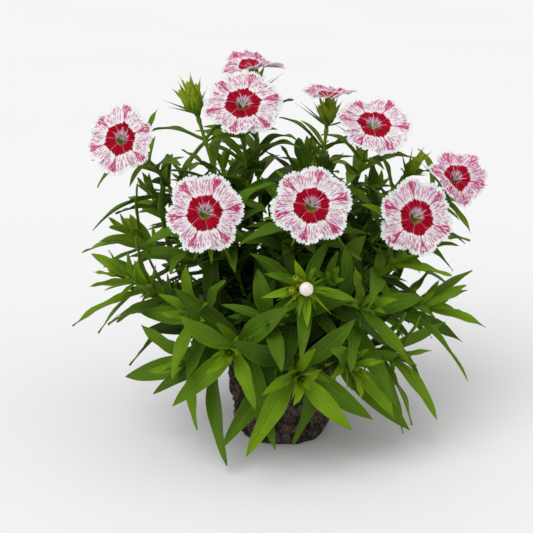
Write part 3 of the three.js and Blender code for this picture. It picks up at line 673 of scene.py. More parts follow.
SCALE_WIDTH = 6.8
BUD_PROFILE = smooth_profile([[0.3, -1], [1.4, 0], [2.8, 4.5], [2.4, 9.5], [1.1, 13.2], [0.1, 15.2]])
CALYX_PROFILE = smooth_profile([
    [1.25, CALYX_TOP - CALYX_LENGTH],
    [2.2, CALYX_TOP - CALYX_LENGTH * 0.85],
    [CALYX_RADIUS, CALYX_TOP - CALYX_LENGTH * 0.55],
    [2.75, CALYX_TOP - CALYX_LENGTH * 0.2],
    [2.85, CALYX_TOP],
])
CALYX_HOLLOW = [[2.5, CALYX_TOP - 0.3], [2.3, CALYX_TOP - 4]]
CALYX_SCALES = 8
NEEDLES = 10  # every second one is long and stands out past the petals


def bud_directions(along, count, lean, offset):
    """`count` directions evenly round `along`, each `lean` degrees away from it."""
    level = squared(UP, unit(along + 0.02 * RIGHT))
    for i in range(count):
        out = turned(level, np.cross(along, level), 2 * math.pi * i / count + offset)
        yield unit(turned(along, out, math.radians(lean)))


def add_bud(piece, foot, along, size, age):
    """A closed bud: a ribbed calyx with scales that hug it and end in needles."""
    piece.add(spun(BUD_PROFILE * size, 20, foot, along, 10, 0.03), STEM, (age, 0.4, 1))
    for i in range(4):
        outer = i % 2
        length = size * (16 if outer else 18.6)
        grow(piece, axes_of(foot, along), 90 * i + 30, 8 + 6 * outer, length, SCALE_WIDTH * size,
             0, 0.05 * outer - 0.02, STEM, (age + 0.1 * outer, 0.5, 1), scale_outline, 0.62)


def add_calyx(piece, plan):
    """The ribbed, toothed tube under a bloom, its scales and needle bracts, and the side buds."""
    bloom, order = plan["item"], plan["order"]
    at, normal = vec(bloom["at"]), direction(*bloom["face"])
    random = random_series(order)
    piece.add(spun(CALYX_PROFILE, 30, at, normal, 15, 0.035, CALYX_HOLLOW), STEM, (0.35, 0.4, 1))
    foot = at + normal * (CALYX_TOP - CALYX_LENGTH)
    axes = axes_of(foot, normal)
    for i in range(CALYX_SCALES):
        outer = i % 2
        length = 15 + 3 * outer + 3 * next(random)
        turn = 360 / CALYX_SCALES * i + 20 * next(random)
        grow(piece, axes, turn, 14 + 13 * outer, length, SCALE_WIDTH, 0, 0.02,
             STEM, (between(random, 0.1, 0.3), 0.5, 1), scale_outline, 0.6, small=True)
    for i in range(NEEDLES):
        wide = i % 2
        length = (20 if wide else 10) + 6 * next(random)
        splay = (56 if wide else 24) + 20 * next(random)
        turn = 360 / NEEDLES * i + 30 * next(random)
        grow(piece, axes, turn, splay, length, 1.6, 0.02, 0.02,
             LEAF, (0.35, next(random), 0), needle_outline, 0.4, small=True)
    for along in bud_directions(normal, bloom["buds"], SIDE_BUD_LEAN, SIDE_BUD_TURN + order):
        add_bud(piece, foot + normal, along, SIDE_BUD_SIZE, 0.35)


CUP_PROFILE = smooth_profile([[0.4, -1], [1.4, 0], [3, 4], [3.3, 7.5], [3.1, 9]])
CUP_HOLLOW = [[2.7, 8.6], [2.2, 7]]
FURLED_PROFILE = smooth_profile(
    [[1.2, 5.4], [2.1, 6], [2.6, 8.6], [3.45, 10.4], [3.5, 12.2], [2.3, 14.1], [0.3, 14.8]])
STAR_NEEDLES = 15
STAR_BUDS = [[-5.2, 4.7], [-7.2, -1.2]]  # small side buds: how far across and up from the opening one
STAR_BUD_PROFILE = smooth_profile([[0.3, -2], [1.7, 0.5], [2, 3], [0.1, 6.4]])
STAR_BRACTS = [[101, 78, 24], [22, 70, 17], [182, 70, 21]]  # broad bracts: turn, splay, length
BUD_BRACTS = 7


def add_opening_bud(piece, foot, along):
    """The calyx of the opening bud, in a star of needle bracts, with small buds and broad bracts."""
    piece.add(spun(CUP_PROFILE, 30, foot, along, 15, 0.03, CUP_HOLLOW), STEM, (0.2, 0.4, 1))
    random = random_series(4021)
    axes = axes_of(foot + along * 1.5, along)
    for i in range(STAR_NEEDLES):
        length = between(random, 9, 21)
        turn, splay = 360 / STAR_NEEDLES * i + 16 * next(random), between(random, 48, 82)
        grow(piece, axes, turn, splay, length, 2.1, 0.02, 0.02,
             LEAF, (0.35 * next(random), 0.3, 0), needle_outline, 0.5)
    for aside, raised in STAR_BUDS:
        _, _, level, square = axes
        at = foot + along * 3 + level * raised - square * aside
        piece.add(spun(STAR_BUD_PROFILE, 16, at, along, 8, 0.04), STEM, (0, 0.4, 1))
        for i in range(6):
            grow(piece, axes_of(at - along * 2, along), 60 * i + 20, 14 + 16 * (i % 2), 10, 3.4, 0, 0.02,
                 STEM, (0.1, 0.4, 1), scale_outline, 0.6, small=True)
    for turn, splay, length in STAR_BRACTS:
        grow(piece, axes, turn, splay, length, 4.9, 0.02, 0.02, LEAF, (0.1, 0.3, 0))


def bud_head(piece, plan):
    """The buds at the tip of a bud stem, with needle bracts under the closed ones."""
    group = plan["item"]
    along, foot, size = direction(*group["face"]), vec(group["at"]), group["size"]
    if not group["opening"]:
        random = random_series(int(1000 + foot[0]))
        for i in range(BUD_BRACTS):
            turn, splay = 360 / BUD_BRACTS * i + 25 * next(random), between(random, 34, 60)
            length = between(random, 11, 19)
            grow(piece, axes_of(foot, along), turn, splay, length * size, 1.8, 0, 0.03,
                 LEAF, (0.2, 0.4, 0), needle_outline, 0.5, small=True)
    for way in bud_directions(along, group["buds"] - 1, group["lean"], BUD_GROUP_TURN):
        add_bud(piece, foot, way, size, 0.1)
    if group["opening"]:
        add_opening_bud(piece, foot, along)
    else:
        add_bud(piece, foot, along, size * MIDDLE_BUD_SIZE, 0.1)


# ---- blooms ----

PETAL_COLUMNS = 57
THROAT_SHARES = [0.085, 0.1, 0.115, 0.13, 0.15, 0.175]
PETAL_SHARES = np.concatenate([THROAT_SHARES, np.linspace(0.21, 0.8, 10), np.linspace(0.84, 1, 8)])
PETAL_FACES = sheet_faces(len(PETAL_SHARES), PETAL_COLUMNS)
PETAL_BODY = 0.3
FINE_CLAW_SPREAD = 31.5  # at the throat, where the frame's petals are narrower
FINE_SPREAD = 35
FINE_LAP = 0.14  # how far a petal's overlapping edge stands above its middle at the throat
FINE_TEETH = 15
FINE_TOOTH = 1.9  # depth of the small teeth
FINE_PLEAT = 0.15
CLAW_DEPTH = 6.5  # how far the claws go down into the calyx
CALM_RUFFLE = 0.4  # how strongly petals lap and curl in the blooms that the photo shows from the side
PETAL, STYLE = 0, 1  # material places in a piece with petals
THREADS = 7
THREAD_RADIUS = 0.2
THROAT_TURN = 0.35  # how far the throat's pale side is turned to the right of straight up


def bloom_axes(bloom):
    normal = direction(*bloom["face"])
    up = squared(UP, normal)
    return vec(bloom["at"]), normal, np.cross(up, normal), up


def petal_angle(bloom, k, v, spread):
    return np.radians(bloom["roll"] + 360 * k / PETALS + v * spread)


def petal_points(bloom, k, share, v):
    """Petal k at `share` of the bloom's radius and `v` from -1 to 1 across, on the frame's surface."""
    at, normal, across, up = bloom_axes(bloom)
    size = BLOOM_RADIUS * bloom["size"]
    own = bloom["roll"] + 2.3 * k  # sets one petal off from the next
    angle = petal_angle(bloom, k, v, lerp(FINE_CLAW_SPREAD, FINE_SPREAD, smoothstep(share, 0.15, 0.6)))

    saw = np.abs(((v + 1) * FINE_TEETH / 2 + 0.21 * k) % 1 * 2 - 1)
    uneven = 0.6 + 0.4 * np.sin(v * 17 + k * 3 + bloom["roll"])
    fringe = FINE_TOOTH * (saw * uneven - 0.3) * smoothstep(share, 0.86, 1)
    middle = 0.12 * math.sin(own * 2)
    lobe = PETAL_LOBE * (1 + 0.25 * math.sin(own * 3)) * (v - middle) ** 2 - 0.6 * math.sin(own)
    reach = share * size - lobe * bloom["size"] * share ** 2 - fringe

    raised = bloom["cup"] + bloom["fold"] * np.cos(2 * (angle - math.radians(bloom["fold_turn"])))
    raised = raised - bloom["tip"] * np.sin(angle)
    lift = np.radians(raised) * smoothstep(share, 0.1, 0.5)
    ruffle = 1 if bloom["tip"] == 0 else CALM_RUFFLE
    lap = (PETAL_TILT * ruffle * share ** 2.6 + FINE_LAP) * v
    wave = PETAL_WAVE * np.sin(v * 7 + k * 2) * share ** 2
    pleats = FINE_PLEAT * np.sin(v * 30 + k + 2 * share) * smoothstep(share, 0.14, 0.3)
    edge = ruffle * smoothstep(share, 0.66, 1)
    curl = edge * (0.7 * np.sin(v * 10 + own) + 0.9 * math.sin(own * 1.7) - 0.5)
    dip = -THROAT_DIP * (1 - share) ** 6 - CLAW_DEPTH * (1 - smoothstep(share, 0.07, 0.16))
    height = reach * np.sin(lift) + lap + wave + pleats + curl + dip

    out = turned(across, up, angle) * (reach * np.cos(lift))[..., None]
    return at + out + normal * height[..., None], normal


def add_petals(piece, bloom, seed):
    """The petals: a tone there is [the petal's own seed, how far up it lies in the bloom, extra pink that is
    partly painted shade].
    """
    share, v = np.meshgrid(PETAL_SHARES, np.linspace(-1, 1, PETAL_COLUMNS), indexing="ij")
    for k in range(PETALS):
        upper, normal = petal_points(bloom, k, share, v)
        body = PETAL_BODY * lerp(1, 0.6, share)
        lower = upper - normal * body[..., None]
        angle = petal_angle(bloom, k, v, FINE_SPREAD).ravel()
        own, extra_pink_and_shade = np.full_like(angle, seed + 0.37 * k), np.full_like(angle, bloom["extra_pink_and_shade"])
        tone = np.stack([own, np.sin(angle + THROAT_TURN), extra_pink_and_shade], axis=-1)
        skin = np.concatenate([upper, lower]), PETAL_FACES, sheet_marks(share, v)
        piece.add(skin, PETAL, np.concatenate([tone, tone]))


def add_throat(piece, bloom, seed):
    """The thin styles and stamens that stand in the throat and lean out of it, most of them upwards."""
    at, normal, across, up = bloom_axes(bloom)
    random = random_series(seed * 31 + 5)
    for i in range(THREADS):
        swing = 2.4 * (i / (THREADS - 1) - 0.5)
        turn = math.pi / 2 - THROAT_TURN + swing + 0.4 * (next(random) - 0.5)
        out = turned(across, up, turn)
        length, lean = between(random, 5.5, 8), between(random, 3.5, 7)
        t = np.linspace(0, 1, 12)[:, None]
        line = at + normal * (-5.5 + length * t * (1.25 - 0.25 * t * t)) + out * (0.2 + lean * t ** 2)
        radii = THREAD_RADIUS * (1 - 0.45 * t[:, 0] ** 2)
        piece.add(tube(line, radii, 6), STYLE, (0.2, next(random), 0))


# ---- root ball ----

BALL_TURNS = 200
BALL_ROWS = 84
TOP_RINGS = (0.94, 0.86, 0.76, 0.64, 0.5, 0.35, 0.18)  # radii of the top's rings as shares of the rim's
LUMP = 1.9  # height of the side's lumps and crumbs, and their spacing
LUMP_SPACING = 9
CRUMB = 1.0
CRUMB_SPACING = 2.2
TOP_CRUMB = 0.8
TOP_CRUMB_SPACING = 4
EDGE_INSET = 1.2
ROOTS = 620
ROOT_STEP = 1.4
ROOT_THICKNESS = 0.1
THICK_ROOTS = 0.3  # what the thickest have more
DOWN = -math.pi / 2
SOIL, ROOT = 0, 1  # material places in the root ball


def ball_point(angle, height, out=0.0):
    """A point on the ball's side: the frame's form, with crumbs and hollows."""
    radius = lerp(BALL_BASE_RADIUS, BALL_TOP_RADIUS, height / BALL_HEIGHT)
    waves = math.sin(angle * 5 + height * 0.21) + math.sin(angle * 9 - height * 0.33 + 1)
    waves += math.sin(angle * 14 + height * 0.5)
    place = Vector((radius * math.cos(angle), radius * math.sin(angle), height))
    edge = min(smoothstep(height, 0, BALL_EDGE), smoothstep(BALL_HEIGHT - height, 0, BALL_EDGE))
    crumbs = LUMP * noise.fractal(place / LUMP_SPACING, 1.0, 2.0, 4)
    crumbs += CRUMB * noise.fractal(place / CRUMB_SPACING, 1.0, 2.0, 2)
    radius += BALL_RELIEF * waves / 3 + (crumbs - 0.3 + out) * edge - (1 - edge) * EDGE_INSET
    return [radius * math.cos(angle), radius * math.sin(angle), height]


def add_ball(piece):
    """The soil: a side with crumbs, a flat underside and a rough top, as one closed skin."""
    rings = []
    for height in np.linspace(0, BALL_HEIGHT, BALL_ROWS):
        rings.append([ball_point(2 * math.pi * j / BALL_TURNS, height) for j in range(BALL_TURNS)])
    rim = np.array(rings[-1])
    for share in TOP_RINGS:
        ring = rim * [share, share, 1]
        ring[:, 2] += [TOP_CRUMB * noise.fractal(Vector(p) / TOP_CRUMB_SPACING, 1.0, 2.0, 3) for p in ring]
        rings.append(ring.tolist())
    points = np.array(rings).reshape(-1, 3)
    piece.add(capped(points, [0, 0, 0], [0, 0, BALL_HEIGHT], len(rings), BALL_TURNS), SOIL)


def add_roots(piece):
    """Fine roots that wander over the ball's side, mostly downwards; a tone is [shade, 0, 0]."""
    random = random_series(977)
    for _ in range(ROOTS):
        angle, height = 2 * math.pi * next(random), between(random, 3, 58)
        heading = DOWN + 3.4 * (next(random) - 0.5)
        thick = ROOT_THICKNESS + THICK_ROOTS * next(random) ** 4
        line = []
        for _ in range(int(between(random, 9, 23))):
            line.append(ball_point(angle, height, between(random, 0.25, 0.6)))
            heading += 1.1 * (next(random) - 0.5) + 0.04 * (DOWN - heading)
            height += ROOT_STEP * math.sin(heading)
            angle += ROOT_STEP * math.cos(heading) / BALL_TOP_RADIUS
            if not 1 < height < BALL_HEIGHT - 0.5:
                break
        if len(line) > 3:
            radii = thick * np.linspace(1, 0.5, len(line))
            piece.add(tube(line, radii, 4), ROOT, (next(random), 0, 0))


# ---- materials ----

class Value:
    """A number, vector or colour in a node material, which adds, subtracts and multiplies like a number."""

    def __init__(self, shader, socket):
        self.shader, self.socket = shader, socket

    def __add__(self, other):
        return self.shader.math("ADD", self, other)

    def __sub__(self, other):
        return self.shader.math("SUBTRACT", self, other)

    def __mul__(self, other):
        return self.shader.math("MULTIPLY", self, other)

    def __abs__(self):
        return self.shader.math("ABSOLUTE", self)

    def ramp(self, low, high, start=0.0, end=1.0):
        """Start where the number is low, end where it is high, and smooth in between."""
        inputs = enumerate([self, low, high, start, end])
        return self.shader.node("MapRange", inputs, interpolation_type="SMOOTHSTEP", clamp=True)

    def layered(self, *layers):
        """The colour under others, each with its factor."""
        colour = self
        for other, factor in layers:
            colour = self.shader.mix(factor, colour, other)
        return colour


class Shader:
    """A node material, with short names for the nodes that it uses."""

    def __init__(self, name, **sockets):
        self.material = bpy.data.materials.new(name)
        self.material.use_nodes = True
        self.tree = self.material.node_tree
        self.surface = self.tree.nodes["Principled BSDF"]
        self.set(**sockets)

    def put(self, value, socket):
        if isinstance(value, Value):
            self.tree.links.new(value.socket, socket)
        else:
            socket.default_value = value

    def set(self, **sockets):
        """Sets sockets of the surface, base_color for Base Color and so on."""
        for name, value in sockets.items():
            self.put(value, self.surface.inputs[name.replace("_", " ").title().replace("Ior", "IOR")])

    def node(self, kind, inputs=(), output=0, **settings):
        made = self.tree.nodes.new(f"ShaderNode{kind}")
        for key, value in settings.items():
            setattr(made, key, value)
        for place, value in inputs:
            self.put(value, made.inputs[place])
        return Value(self, made.outputs[output])

    def math(self, operation, *values):
        return self.node("Math", enumerate(values), operation=operation)

    def mix(self, factor, a, b):
        """Colour a where factor is 0, b where it is 1."""
        a, b = (c if isinstance(c, Value) else (*c, 1) for c in (a, b))
        return self.node("Mix", [(0, factor), (6, a), (7, b)], 2, data_type="RGBA")

    def parts(self, name):
        """The three parts of the mesh's marks or tones."""
        vector = self.node("Attribute", output=1, attribute_name=name)
        return [self.node("SeparateXYZ", [(0, vector)], i) for i in range(3)]

    def noise(self, scale, detail, roughness=0.5, at=None):
        """Noise in the object's own space, or over three numbers."""
        place = self.node("CombineXYZ", enumerate(at)) if at else self.node("TexCoord", output=3)
        inputs = [("Vector", place), ("Scale", scale), ("Detail", detail), ("Roughness", roughness)]
        return self.node("TexNoise", inputs)

    def bump(self, height, strength, distance):
        """Relief, its distance in metres."""
        inputs = [("Height", height), ("Strength", strength), ("Distance", distance)]
        self.set(normal=self.node("Bump", inputs))


YOUNG_GREEN = (0.142, 0.252, 0.004)
RIPE_GREEN = (0.066, 0.142, 0.006)
# deep green of old leaves, which is also the painted shade deep in the foliage
DEEP_GREEN = (0.014, 0.043, 0.003)
GREEN_GLOSS = (1, 1, 0.35, 1)
LEAF_SHADE = (0.012, 0.04, 0.008)
LEAF_SHOULDER = (0.3, 0.42, 0.1)
LEAF_GROOVE = (0.02, 0.06, 0.006)
LEAF_EDGE = (0.26, 0.38, 0.08)
LEAF_FOOT = (0.22, 0.34, 0.05)
LEAF_UNDERSIDE = (0.1, 0.19, 0.045)
STEM_GREEN = (0.18, 0.26, 0.03)
BUD_TIP = (0.34, 0.37, 0.015)


# deep green where the age is high; for leaves that age also holds the painted depth shade
def green_by_age(shader, age):
    young = shader.mix(age.ramp(0.0, 0.5), YOUNG_GREEN, RIPE_GREEN)
    return young.layered([DEEP_GREEN, age.ramp(0.45, 1.0)])


def leaf_material():
    """Green by age and by painted shade deep in the foliage, with fibres, a dark midrib groove and a paler
    edge and foot.
    """
    shader = Shader("leaf", roughness=0.45, specular_ior_level=0.12, specular_tint=GREEN_GLOSS)
    along, across, under = shader.parts("marks")
    age, shade, _ = shader.parts("tone")
    off_axis = abs(across)
    fibre = shader.noise(1.6, 3, at=(across * 7.0, along * 1.6, shade * 30))
    cloud = shader.noise(90, 3)
    # the tone's age holds the painted depth shade as well
    age_and_painted_shade = age + (cloud - 0.5) * 0.35 + along.ramp(0.0, 0.3) * 0.1
    colour = green_by_age(shader, age_and_painted_shade - 0.1).layered(
        [YOUNG_GREEN, fibre.ramp(0.45, 0.7) * 0.1],
        [LEAF_SHADE, shade.ramp(0.4, 1.0) * 0.18],
        [LEAF_SHOULDER, off_axis.ramp(0.05, 0.16) * off_axis.ramp(0.16, 0.4, 1, 0) * 0.06],
        [LEAF_GROOVE, off_axis.ramp(0.02, 0.08, 1, 0) * along.ramp(0.3, 0.8, 0.1, 0.35)],
        [LEAF_EDGE, off_axis.ramp(0.9, 1.0, 0, 0.16)],
        [LEAF_FOOT, along.ramp(0.0, 0.14, 0.4, 0) * age.ramp(0.4, 0.9, 1, 0.2)],
        [LEAF_UNDERSIDE, under * 0.25])
    shader.set(base_color=colour, roughness=fibre.ramp(0.3, 0.7, 0.42, 0.56))
    shader.bump(fibre, 0.2, 0.0004)
    return shader.material


def stem_material():
    """Stems, calyces and buds, whose tips are yellower."""
    shader = Shader("stem", roughness=0.45, specular_ior_level=0.16, specular_tint=GREEN_GLOSS)
    along, around_it, _ = shader.parts("marks")
    age, _, bud = shader.parts("tone")
    streak = shader.noise(1.5, 2, at=(around_it * 26, along * 3, age))
    shader.set(base_color=green_by_age(shader, age + (streak - 0.5) * 0.3).layered(
        [STEM_GREEN, 0.25],
        [BUD_TIP, bud * along.ramp(0.3, 1.0, 0.1, 0.55)]))
    shader.bump(streak, 0.3, 0.0004)
    return shader.material


PETAL_WHITE = (0.88, 0.84, 0.84)
SOFT_PINK = (0.6, 0.25, 0.41)
STREAK_PINK = (0.44, 0.06, 0.2)
RASPBERRY = (0.41, 0.005, 0.108)
CRIMSON = (0.43, 0.001, 0.021)
CRIMSON_DARK = (0.16, 0.0, 0.004)
SEAM_PINK = (0.7, 0.4, 0.48)
THROAT_LILAC = (0.58, 0.4, 0.5)
THROAT_MAROON = (0.3, 0.05, 0.12)
THROAT_OLIVE = (0.4, 0.48, 0.1)
# the undersides: their own pale pink, painted lighter than the upper side as painted light against the shade
# under the petals
UNDERSIDE_WHITE_PAINTED_LIGHT = (0.95, 0.88, 0.88)
UNDERSIDE_PINK_PAINTED_LIGHT = (0.8, 0.5, 0.6)
PETAL_GLOW = dict(subsurface_weight=0.7, subsurface_radius=(1, 0.8, 0.8), subsurface_scale=0.0015)
EYE_SHARE = 0.45  # how far the eye reaches, as a share of the bloom's radius


def petal_material():
    """White with raspberry streaks and a crimson eye; marks are [share of the radius, place across]."""
    shader = Shader("petal", roughness=0.6, specular_ior_level=0.06, **PETAL_GLOW)
    share, across, under = shader.parts("marks")
    seed, upper, extra_pink_and_shade = shader.parts("tone")
    off_axis = abs(across)
    strokes = shader.noise(1.0, 2, 0.6, (across * 17, share * 4, seed))
    dashes = shader.noise(1.0, 2, 0.6, (across * 22, share * 8, seed + 9))
    lines = shader.noise(1.0, 1, at=(across * 17, share, seed + 5))
    clumps = shader.noise(1.0, 1, at=(across * 3, share * 5, seed + 3))
    folds = shader.noise(1.0, 2, at=(across * 7, share * 3, seed + 7))

    # fine broken streaks, between the eye and the white edge
    end = share + (strokes - 0.5) * 0.2
    belt = end.ramp(EYE_SHARE, 0.62, 0.35, 1) * end.ramp(0.87, 0.95, 1, 0)
    # a bloom's extra pink adds streaks; in part this is painted shade
    level = strokes * 0.4 + dashes * 0.6 + extra_pink_and_shade + (belt * 0.06 + clumps * 0.1)

    # the wedge in the middle of each petal, split up at its outer end
    width = share.ramp(0.52, 0.86, 0.035, 0.21)
    split = shader.math("MAXIMUM", dashes.ramp(0.39, 0.45), share.ramp(0.66, 0.8, 1, 0))
    wedge = (width - off_axis).ramp(-0.03, 0.03) * split * end.ramp(0.9, 0.95, 1, 0)

    # the eye, with a beak into each wedge and pale seams between the petals
    red = shader.mix((folds * 0.7 + lines * 0.3).ramp(0.4, 0.6), CRIMSON_DARK, CRIMSON)
    beak = off_axis.ramp(0.0, 0.22, 0.035, 0) + off_axis.ramp(0.7, 1.0, 0, 0.02)
    uneven = (lines - 0.5) * 0.1 + (clumps - 0.5) * 0.09
    rim = share + uneven - beak
    seam = off_axis.ramp(0.94, 0.98) * share.ramp(EYE_SHARE, EYE_SHARE + 0.04, 1, 0)

    # the throat, lilac with maroon lines and olive at its bottom
    throat = shader.mix(lines.ramp(0.42, 0.55), THROAT_MAROON, THROAT_LILAC)
    mouth = share + lines * 0.14 + upper * -0.075
    bottom = share + (lines - 0.5) * 0.07 + upper * 0.045

    # underside colour, with painted light that lifts it out of its shade
    back = shader.mix(strokes.ramp(0.42, 0.65), UNDERSIDE_WHITE_PAINTED_LIGHT, UNDERSIDE_PINK_PAINTED_LIGHT)
    soft_streaks = shader.mix(level.ramp(0.592, 0.617) * belt * 0.7, PETAL_WHITE, SOFT_PINK)
    shader.set(base_color=soft_streaks.layered(
        [STREAK_PINK, level.ramp(0.633, 0.655) * belt * 0.8],
        [RASPBERRY, wedge * 0.92],
        [red, rim.ramp(EYE_SHARE - 0.01, EYE_SHARE + 0.005, 1, 0)],
        [SEAM_PINK, seam * 0.75],
        [throat, mouth.ramp(0.19, 0.3, 1, 0)],
        [THROAT_OLIVE, bottom.ramp(0.06, 0.135, 1, 0)],
        [back, under * 0.8]))
    shader.bump(strokes, 0.35, 0.0006)
    return shader.material


THREAD_LILAC = (0.72, 0.55, 0.62)
THREAD_DUST = (0.85, 0.75, 0.8)


def style_material():
    shader = Shader("style", roughness=0.5)
    shader.set(base_color=shader.mix(shader.noise(900, 2) * 0.3, THREAD_LILAC, THREAD_DUST))
    return shader.material


FURLED_WHITE = (0.8, 0.74, 0.66)
FURLED_PINK = (0.66, 0.36, 0.42)
FURLED_FOOT = (0.6, 0.62, 0.4)


def furled_material():
    """The rolled petals of the opening bud, with pink lines that wind round them."""
    shader = Shader("furled", roughness=0.55)
    along, around_it, _ = shader.parts("marks")
    swirl = around_it + along * 0.35
    fold = shader.noise(1.3, 2, at=(swirl * 16, along * 2, 3.0))
    colour = shader.mix(fold.ramp(0.5, 0.75), FURLED_WHITE, FURLED_PINK)
    shader.set(base_color=colour.layered([FURLED_FOOT, along.ramp(0.0, 0.35, 0.6, 0)]))
    shader.bump(fold, 0.5, 0.0006)
    return shader.material


SOIL_DARK = (0.014, 0.01, 0.008)
SOIL_BROWN = (0.09, 0.066, 0.053)
SOIL_GRAIN = (0.2, 0.15, 0.115)
# painted shade in the soil's hollows
SOIL_PAINTED_SHADE = (0.008, 0.006, 0.005)
ROOT_TAN = (0.2, 0.15, 0.12)
ROOT_BROWN = (0.06, 0.043, 0.035)
ROOT_GRAIN = (0.34, 0.26, 0.2)
# painted shade on the roots where they run over the hollows
ROOT_PAINTED_SHADE = (0.03, 0.022, 0.018)


def hollow_painted_shade(shader):
    """Painted shade: 0 on the ball's lumps, nearly 1 in the hollows between them, which are painted dark."""
    return shader.noise(170, 3, 0.6).ramp(0.4, 0.56, 0.85, 0)


def soil_material():
    shader = Shader("soil", roughness=0.95, specular_ior_level=0.15)
    clods = shader.noise(120, 5, 0.65)
    grains = shader.noise(650, 3, 0.6)
    colour = shader.mix(clods.ramp(0.35, 0.65), SOIL_DARK, SOIL_BROWN)
    shader.set(base_color=colour.layered(
        [SOIL_GRAIN, grains.ramp(0.56, 0.66)], [SOIL_PAINTED_SHADE, hollow_painted_shade(shader)]))
    shader.bump(clods + grains * 0.4, 0.8, 0.0012)
    return shader.material


def root_material():
    shader = Shader("root", roughness=0.8, specular_ior_level=0.25)
    own, _, _ = shader.parts("tone")
    grain = shader.noise(500, 3)
    shader.set(base_color=shader.mix(own, ROOT_TAN, ROOT_BROWN).layered(
        [ROOT_GRAIN, grain * 0.5], [ROOT_PAINTED_SHADE, hollow_painted_shade(shader)]))
    shader.bump(grain, 0.4, 0.0004)
    return shader.material


# ---- the plant ----

FLOWER_STEM = dict(
    radius=FLOWER_STEM_RADIUS, pairs=FLOWER_LEAVES, tufts=False, recurve=FLOWER_RECURVE, tip_share=0.9)
LOW_AGE = 0.08
HIGH_AGE = 0.2
NARROW_FRESHNESS = 0.4  # how much younger the shoots with narrow leaves look


def stem_plans():
    """What each stem grows from: line and leaves as in the part's source, and looks."""
    for i, bloom in enumerate(BLOOMS):
        normal = direction(*bloom["face"])
        yield dict(
            FLOWER_STEM, name=f"flower_stem_{i + 1}", facing=normal,
            tip=vec(bloom["at"]) + normal * (CALYX_TOP - CALYX_LENGTH + 1), roll=20 + 37 * i, seed=11 + i,
            leaf=LONGEST_FLOWER_LEAF, inner=FLOWER_INNER, age=0.27, ageing=0.055,
            head=add_calyx, item=bloom, order=i)
    for i, group in enumerate(BUD_STEMS):
        yield dict(
            FLOWER_STEM, name=f"bud_stem_{i + 1}", facing=direction(*group["face"]),
            tip=vec(group["at"]), roll=70 * i, seed=41 + i,
            leaf=LONGEST_BUD_LEAF, inner=BUD_INNER, age=0.3, ageing=0.07,
            head=bud_head, item=group)
    for i, (tip, face, roll, count, leaf, narrow) in enumerate(SHOOTS):
        pairs = [[t, splay * narrow, size, slim * narrow] for t, splay, size, slim in SHOOT_LEAVES[:count]]
        age = LOW_AGE if i < LOW_SHOOTS else HIGH_AGE
        yield dict(
            name=f"leafy_shoot_{i + 1}", facing=direction(*face), tip=vec(tip), roll=roll, seed=71 + i,
            radius=SHOOT_RADIUS, pairs=pairs, tufts=True, recurve=SHOOT_RECURVE, tip_share=0.6,
            leaf=leaf, inner=SHOOT_INNER, age=age - NARROW_FRESHNESS * (1 - narrow), ageing=0.115,
            head=tip_leaves)


plans = list(stem_plans())
feet = stem_feet([plan["tip"] for plan in plans])
foliage_materials = [leaf_material(), stem_material()]
for plan, foot in zip(plans, feet):
    plan["corners"] = np.array([vertex.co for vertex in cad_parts[plan["name"]].data.vertices]) / MM
    plan["stem"] = find_stem(plan, foot)
    piece = Piece()
    stem_tube(piece, plan)
    grow_leaves(piece, plan)
    inner_leaves(piece, plan)
    plan["head"](piece, plan)
    piece.build(plan["name"], foliage_materials)

bloom_materials = [petal_material(), style_material()]
for i, bloom in enumerate(BLOOMS):
    piece = Piece()
    add_petals(piece, bloom, 1.7 * i)
    add_throat(piece, bloom, i + 1)
    piece.build(f"corolla_{i + 1}", bloom_materials)

furled = Piece()
opening = BUD_STEMS[1]
furled.add(spun(FURLED_PROFILE, 48, vec(opening["at"]), direction(*opening["face"]), 6, 0.015), PETAL)
furled.build("opening_bud_petals", [furled_material()])

ball = Piece()
add_ball(ball)
add_roots(ball)
ball.build("root_ball", [soil_material(), root_material()])

# ---- stage ----

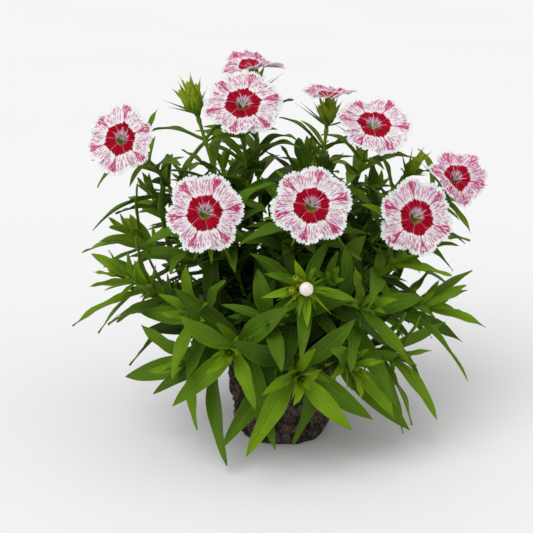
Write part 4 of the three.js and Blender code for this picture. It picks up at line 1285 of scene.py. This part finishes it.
CAMERA_RISE = 18
CAMERA_DISTANCE = 800
CAMERA_AIM = [-9.5, 0, 100.66]
PIXEL = 0.575  # what one pixel of the picture spans at the plant's middle
PICTURE = 533
SENSOR = 36
WORLD_LIGHT = 0.55
WORLD_SEEN = 0.93  # what the camera sees over the floor's edge, as pale as the floor
LAMPS = [["key", (-0.5, -0.75, 1.0), 45, 1.8], ["fill", (1.2, -1.0, 0.9), 90, 0.5]]  # side, spread, strength
FLOOR_REACH = 6  # metres
FLOOR_LIGHT = (0.9, 0.9, 0.9)
FLOOR_SHADE = (0.86, 0.86, 0.865)


def add_floor():
    mesh = bpy.data.meshes.new("floor")
    corners = [(x * FLOOR_REACH, y * FLOOR_REACH, 0) for x, y in ((-1, -1), (1, -1), (1, 1), (-1, 1))]
    mesh.from_pydata(corners, [], [(0, 1, 2, 3)])
    floor = new_object("floor", mesh)
    shader = Shader("floor", roughness=0.9, specular_ior_level=0.1)
    shader.set(base_color=shader.mix(shader.noise(3, 2), FLOOR_LIGHT, FLOOR_SHADE))
    mesh.materials.append(shader.material)


def add_lights():
    world = bpy.data.worlds.new("studio")
    world.use_nodes = True
    tree = world.node_tree
    light, out = tree.nodes["Background"], tree.nodes["World Output"]
    kinds = ("Background", "MixShader", "LightPath")
    seen, choice, path = (tree.nodes.new(f"ShaderNode{kind}") for kind in kinds)
    for background, strength in ((light, WORLD_LIGHT), (seen, WORLD_SEEN)):
        background.inputs["Color"].default_value = (1, 1, 1, 1)
        background.inputs["Strength"].default_value = strength
    tree.links.new(path.outputs["Is Camera Ray"], choice.inputs[0])
    tree.links.new(light.outputs[0], choice.inputs[1])
    tree.links.new(seen.outputs[0], choice.inputs[2])
    tree.links.new(choice.outputs[0], out.inputs["Surface"])
    bpy.context.scene.world = world

    for name, side, spread, strength in LAMPS:
        light = bpy.data.lights.new(name, "SUN")
        light.angle = math.radians(spread)
        light.energy = strength
        new_object(name, light).rotation_euler = Vector(side).to_track_quat("Z", "Y").to_euler()


def add_camera():
    camera = new_object("camera", bpy.data.cameras.new("camera"))
    camera.data.sensor_width = SENSOR
    camera.data.lens = CAMERA_DISTANCE / PIXEL / PICTURE * SENSOR
    camera.data.clip_start = 0.02
    camera.location = (vec(CAMERA_AIM) + direction(0, CAMERA_RISE) * CAMERA_DISTANCE) * MM
    camera.rotation_euler = (math.radians(90 - CAMERA_RISE), 0, 0)
    bpy.context.scene.camera = camera
    bpy.context.scene.view_settings.view_transform = "Standard"


add_floor()
add_lights()
add_camera()
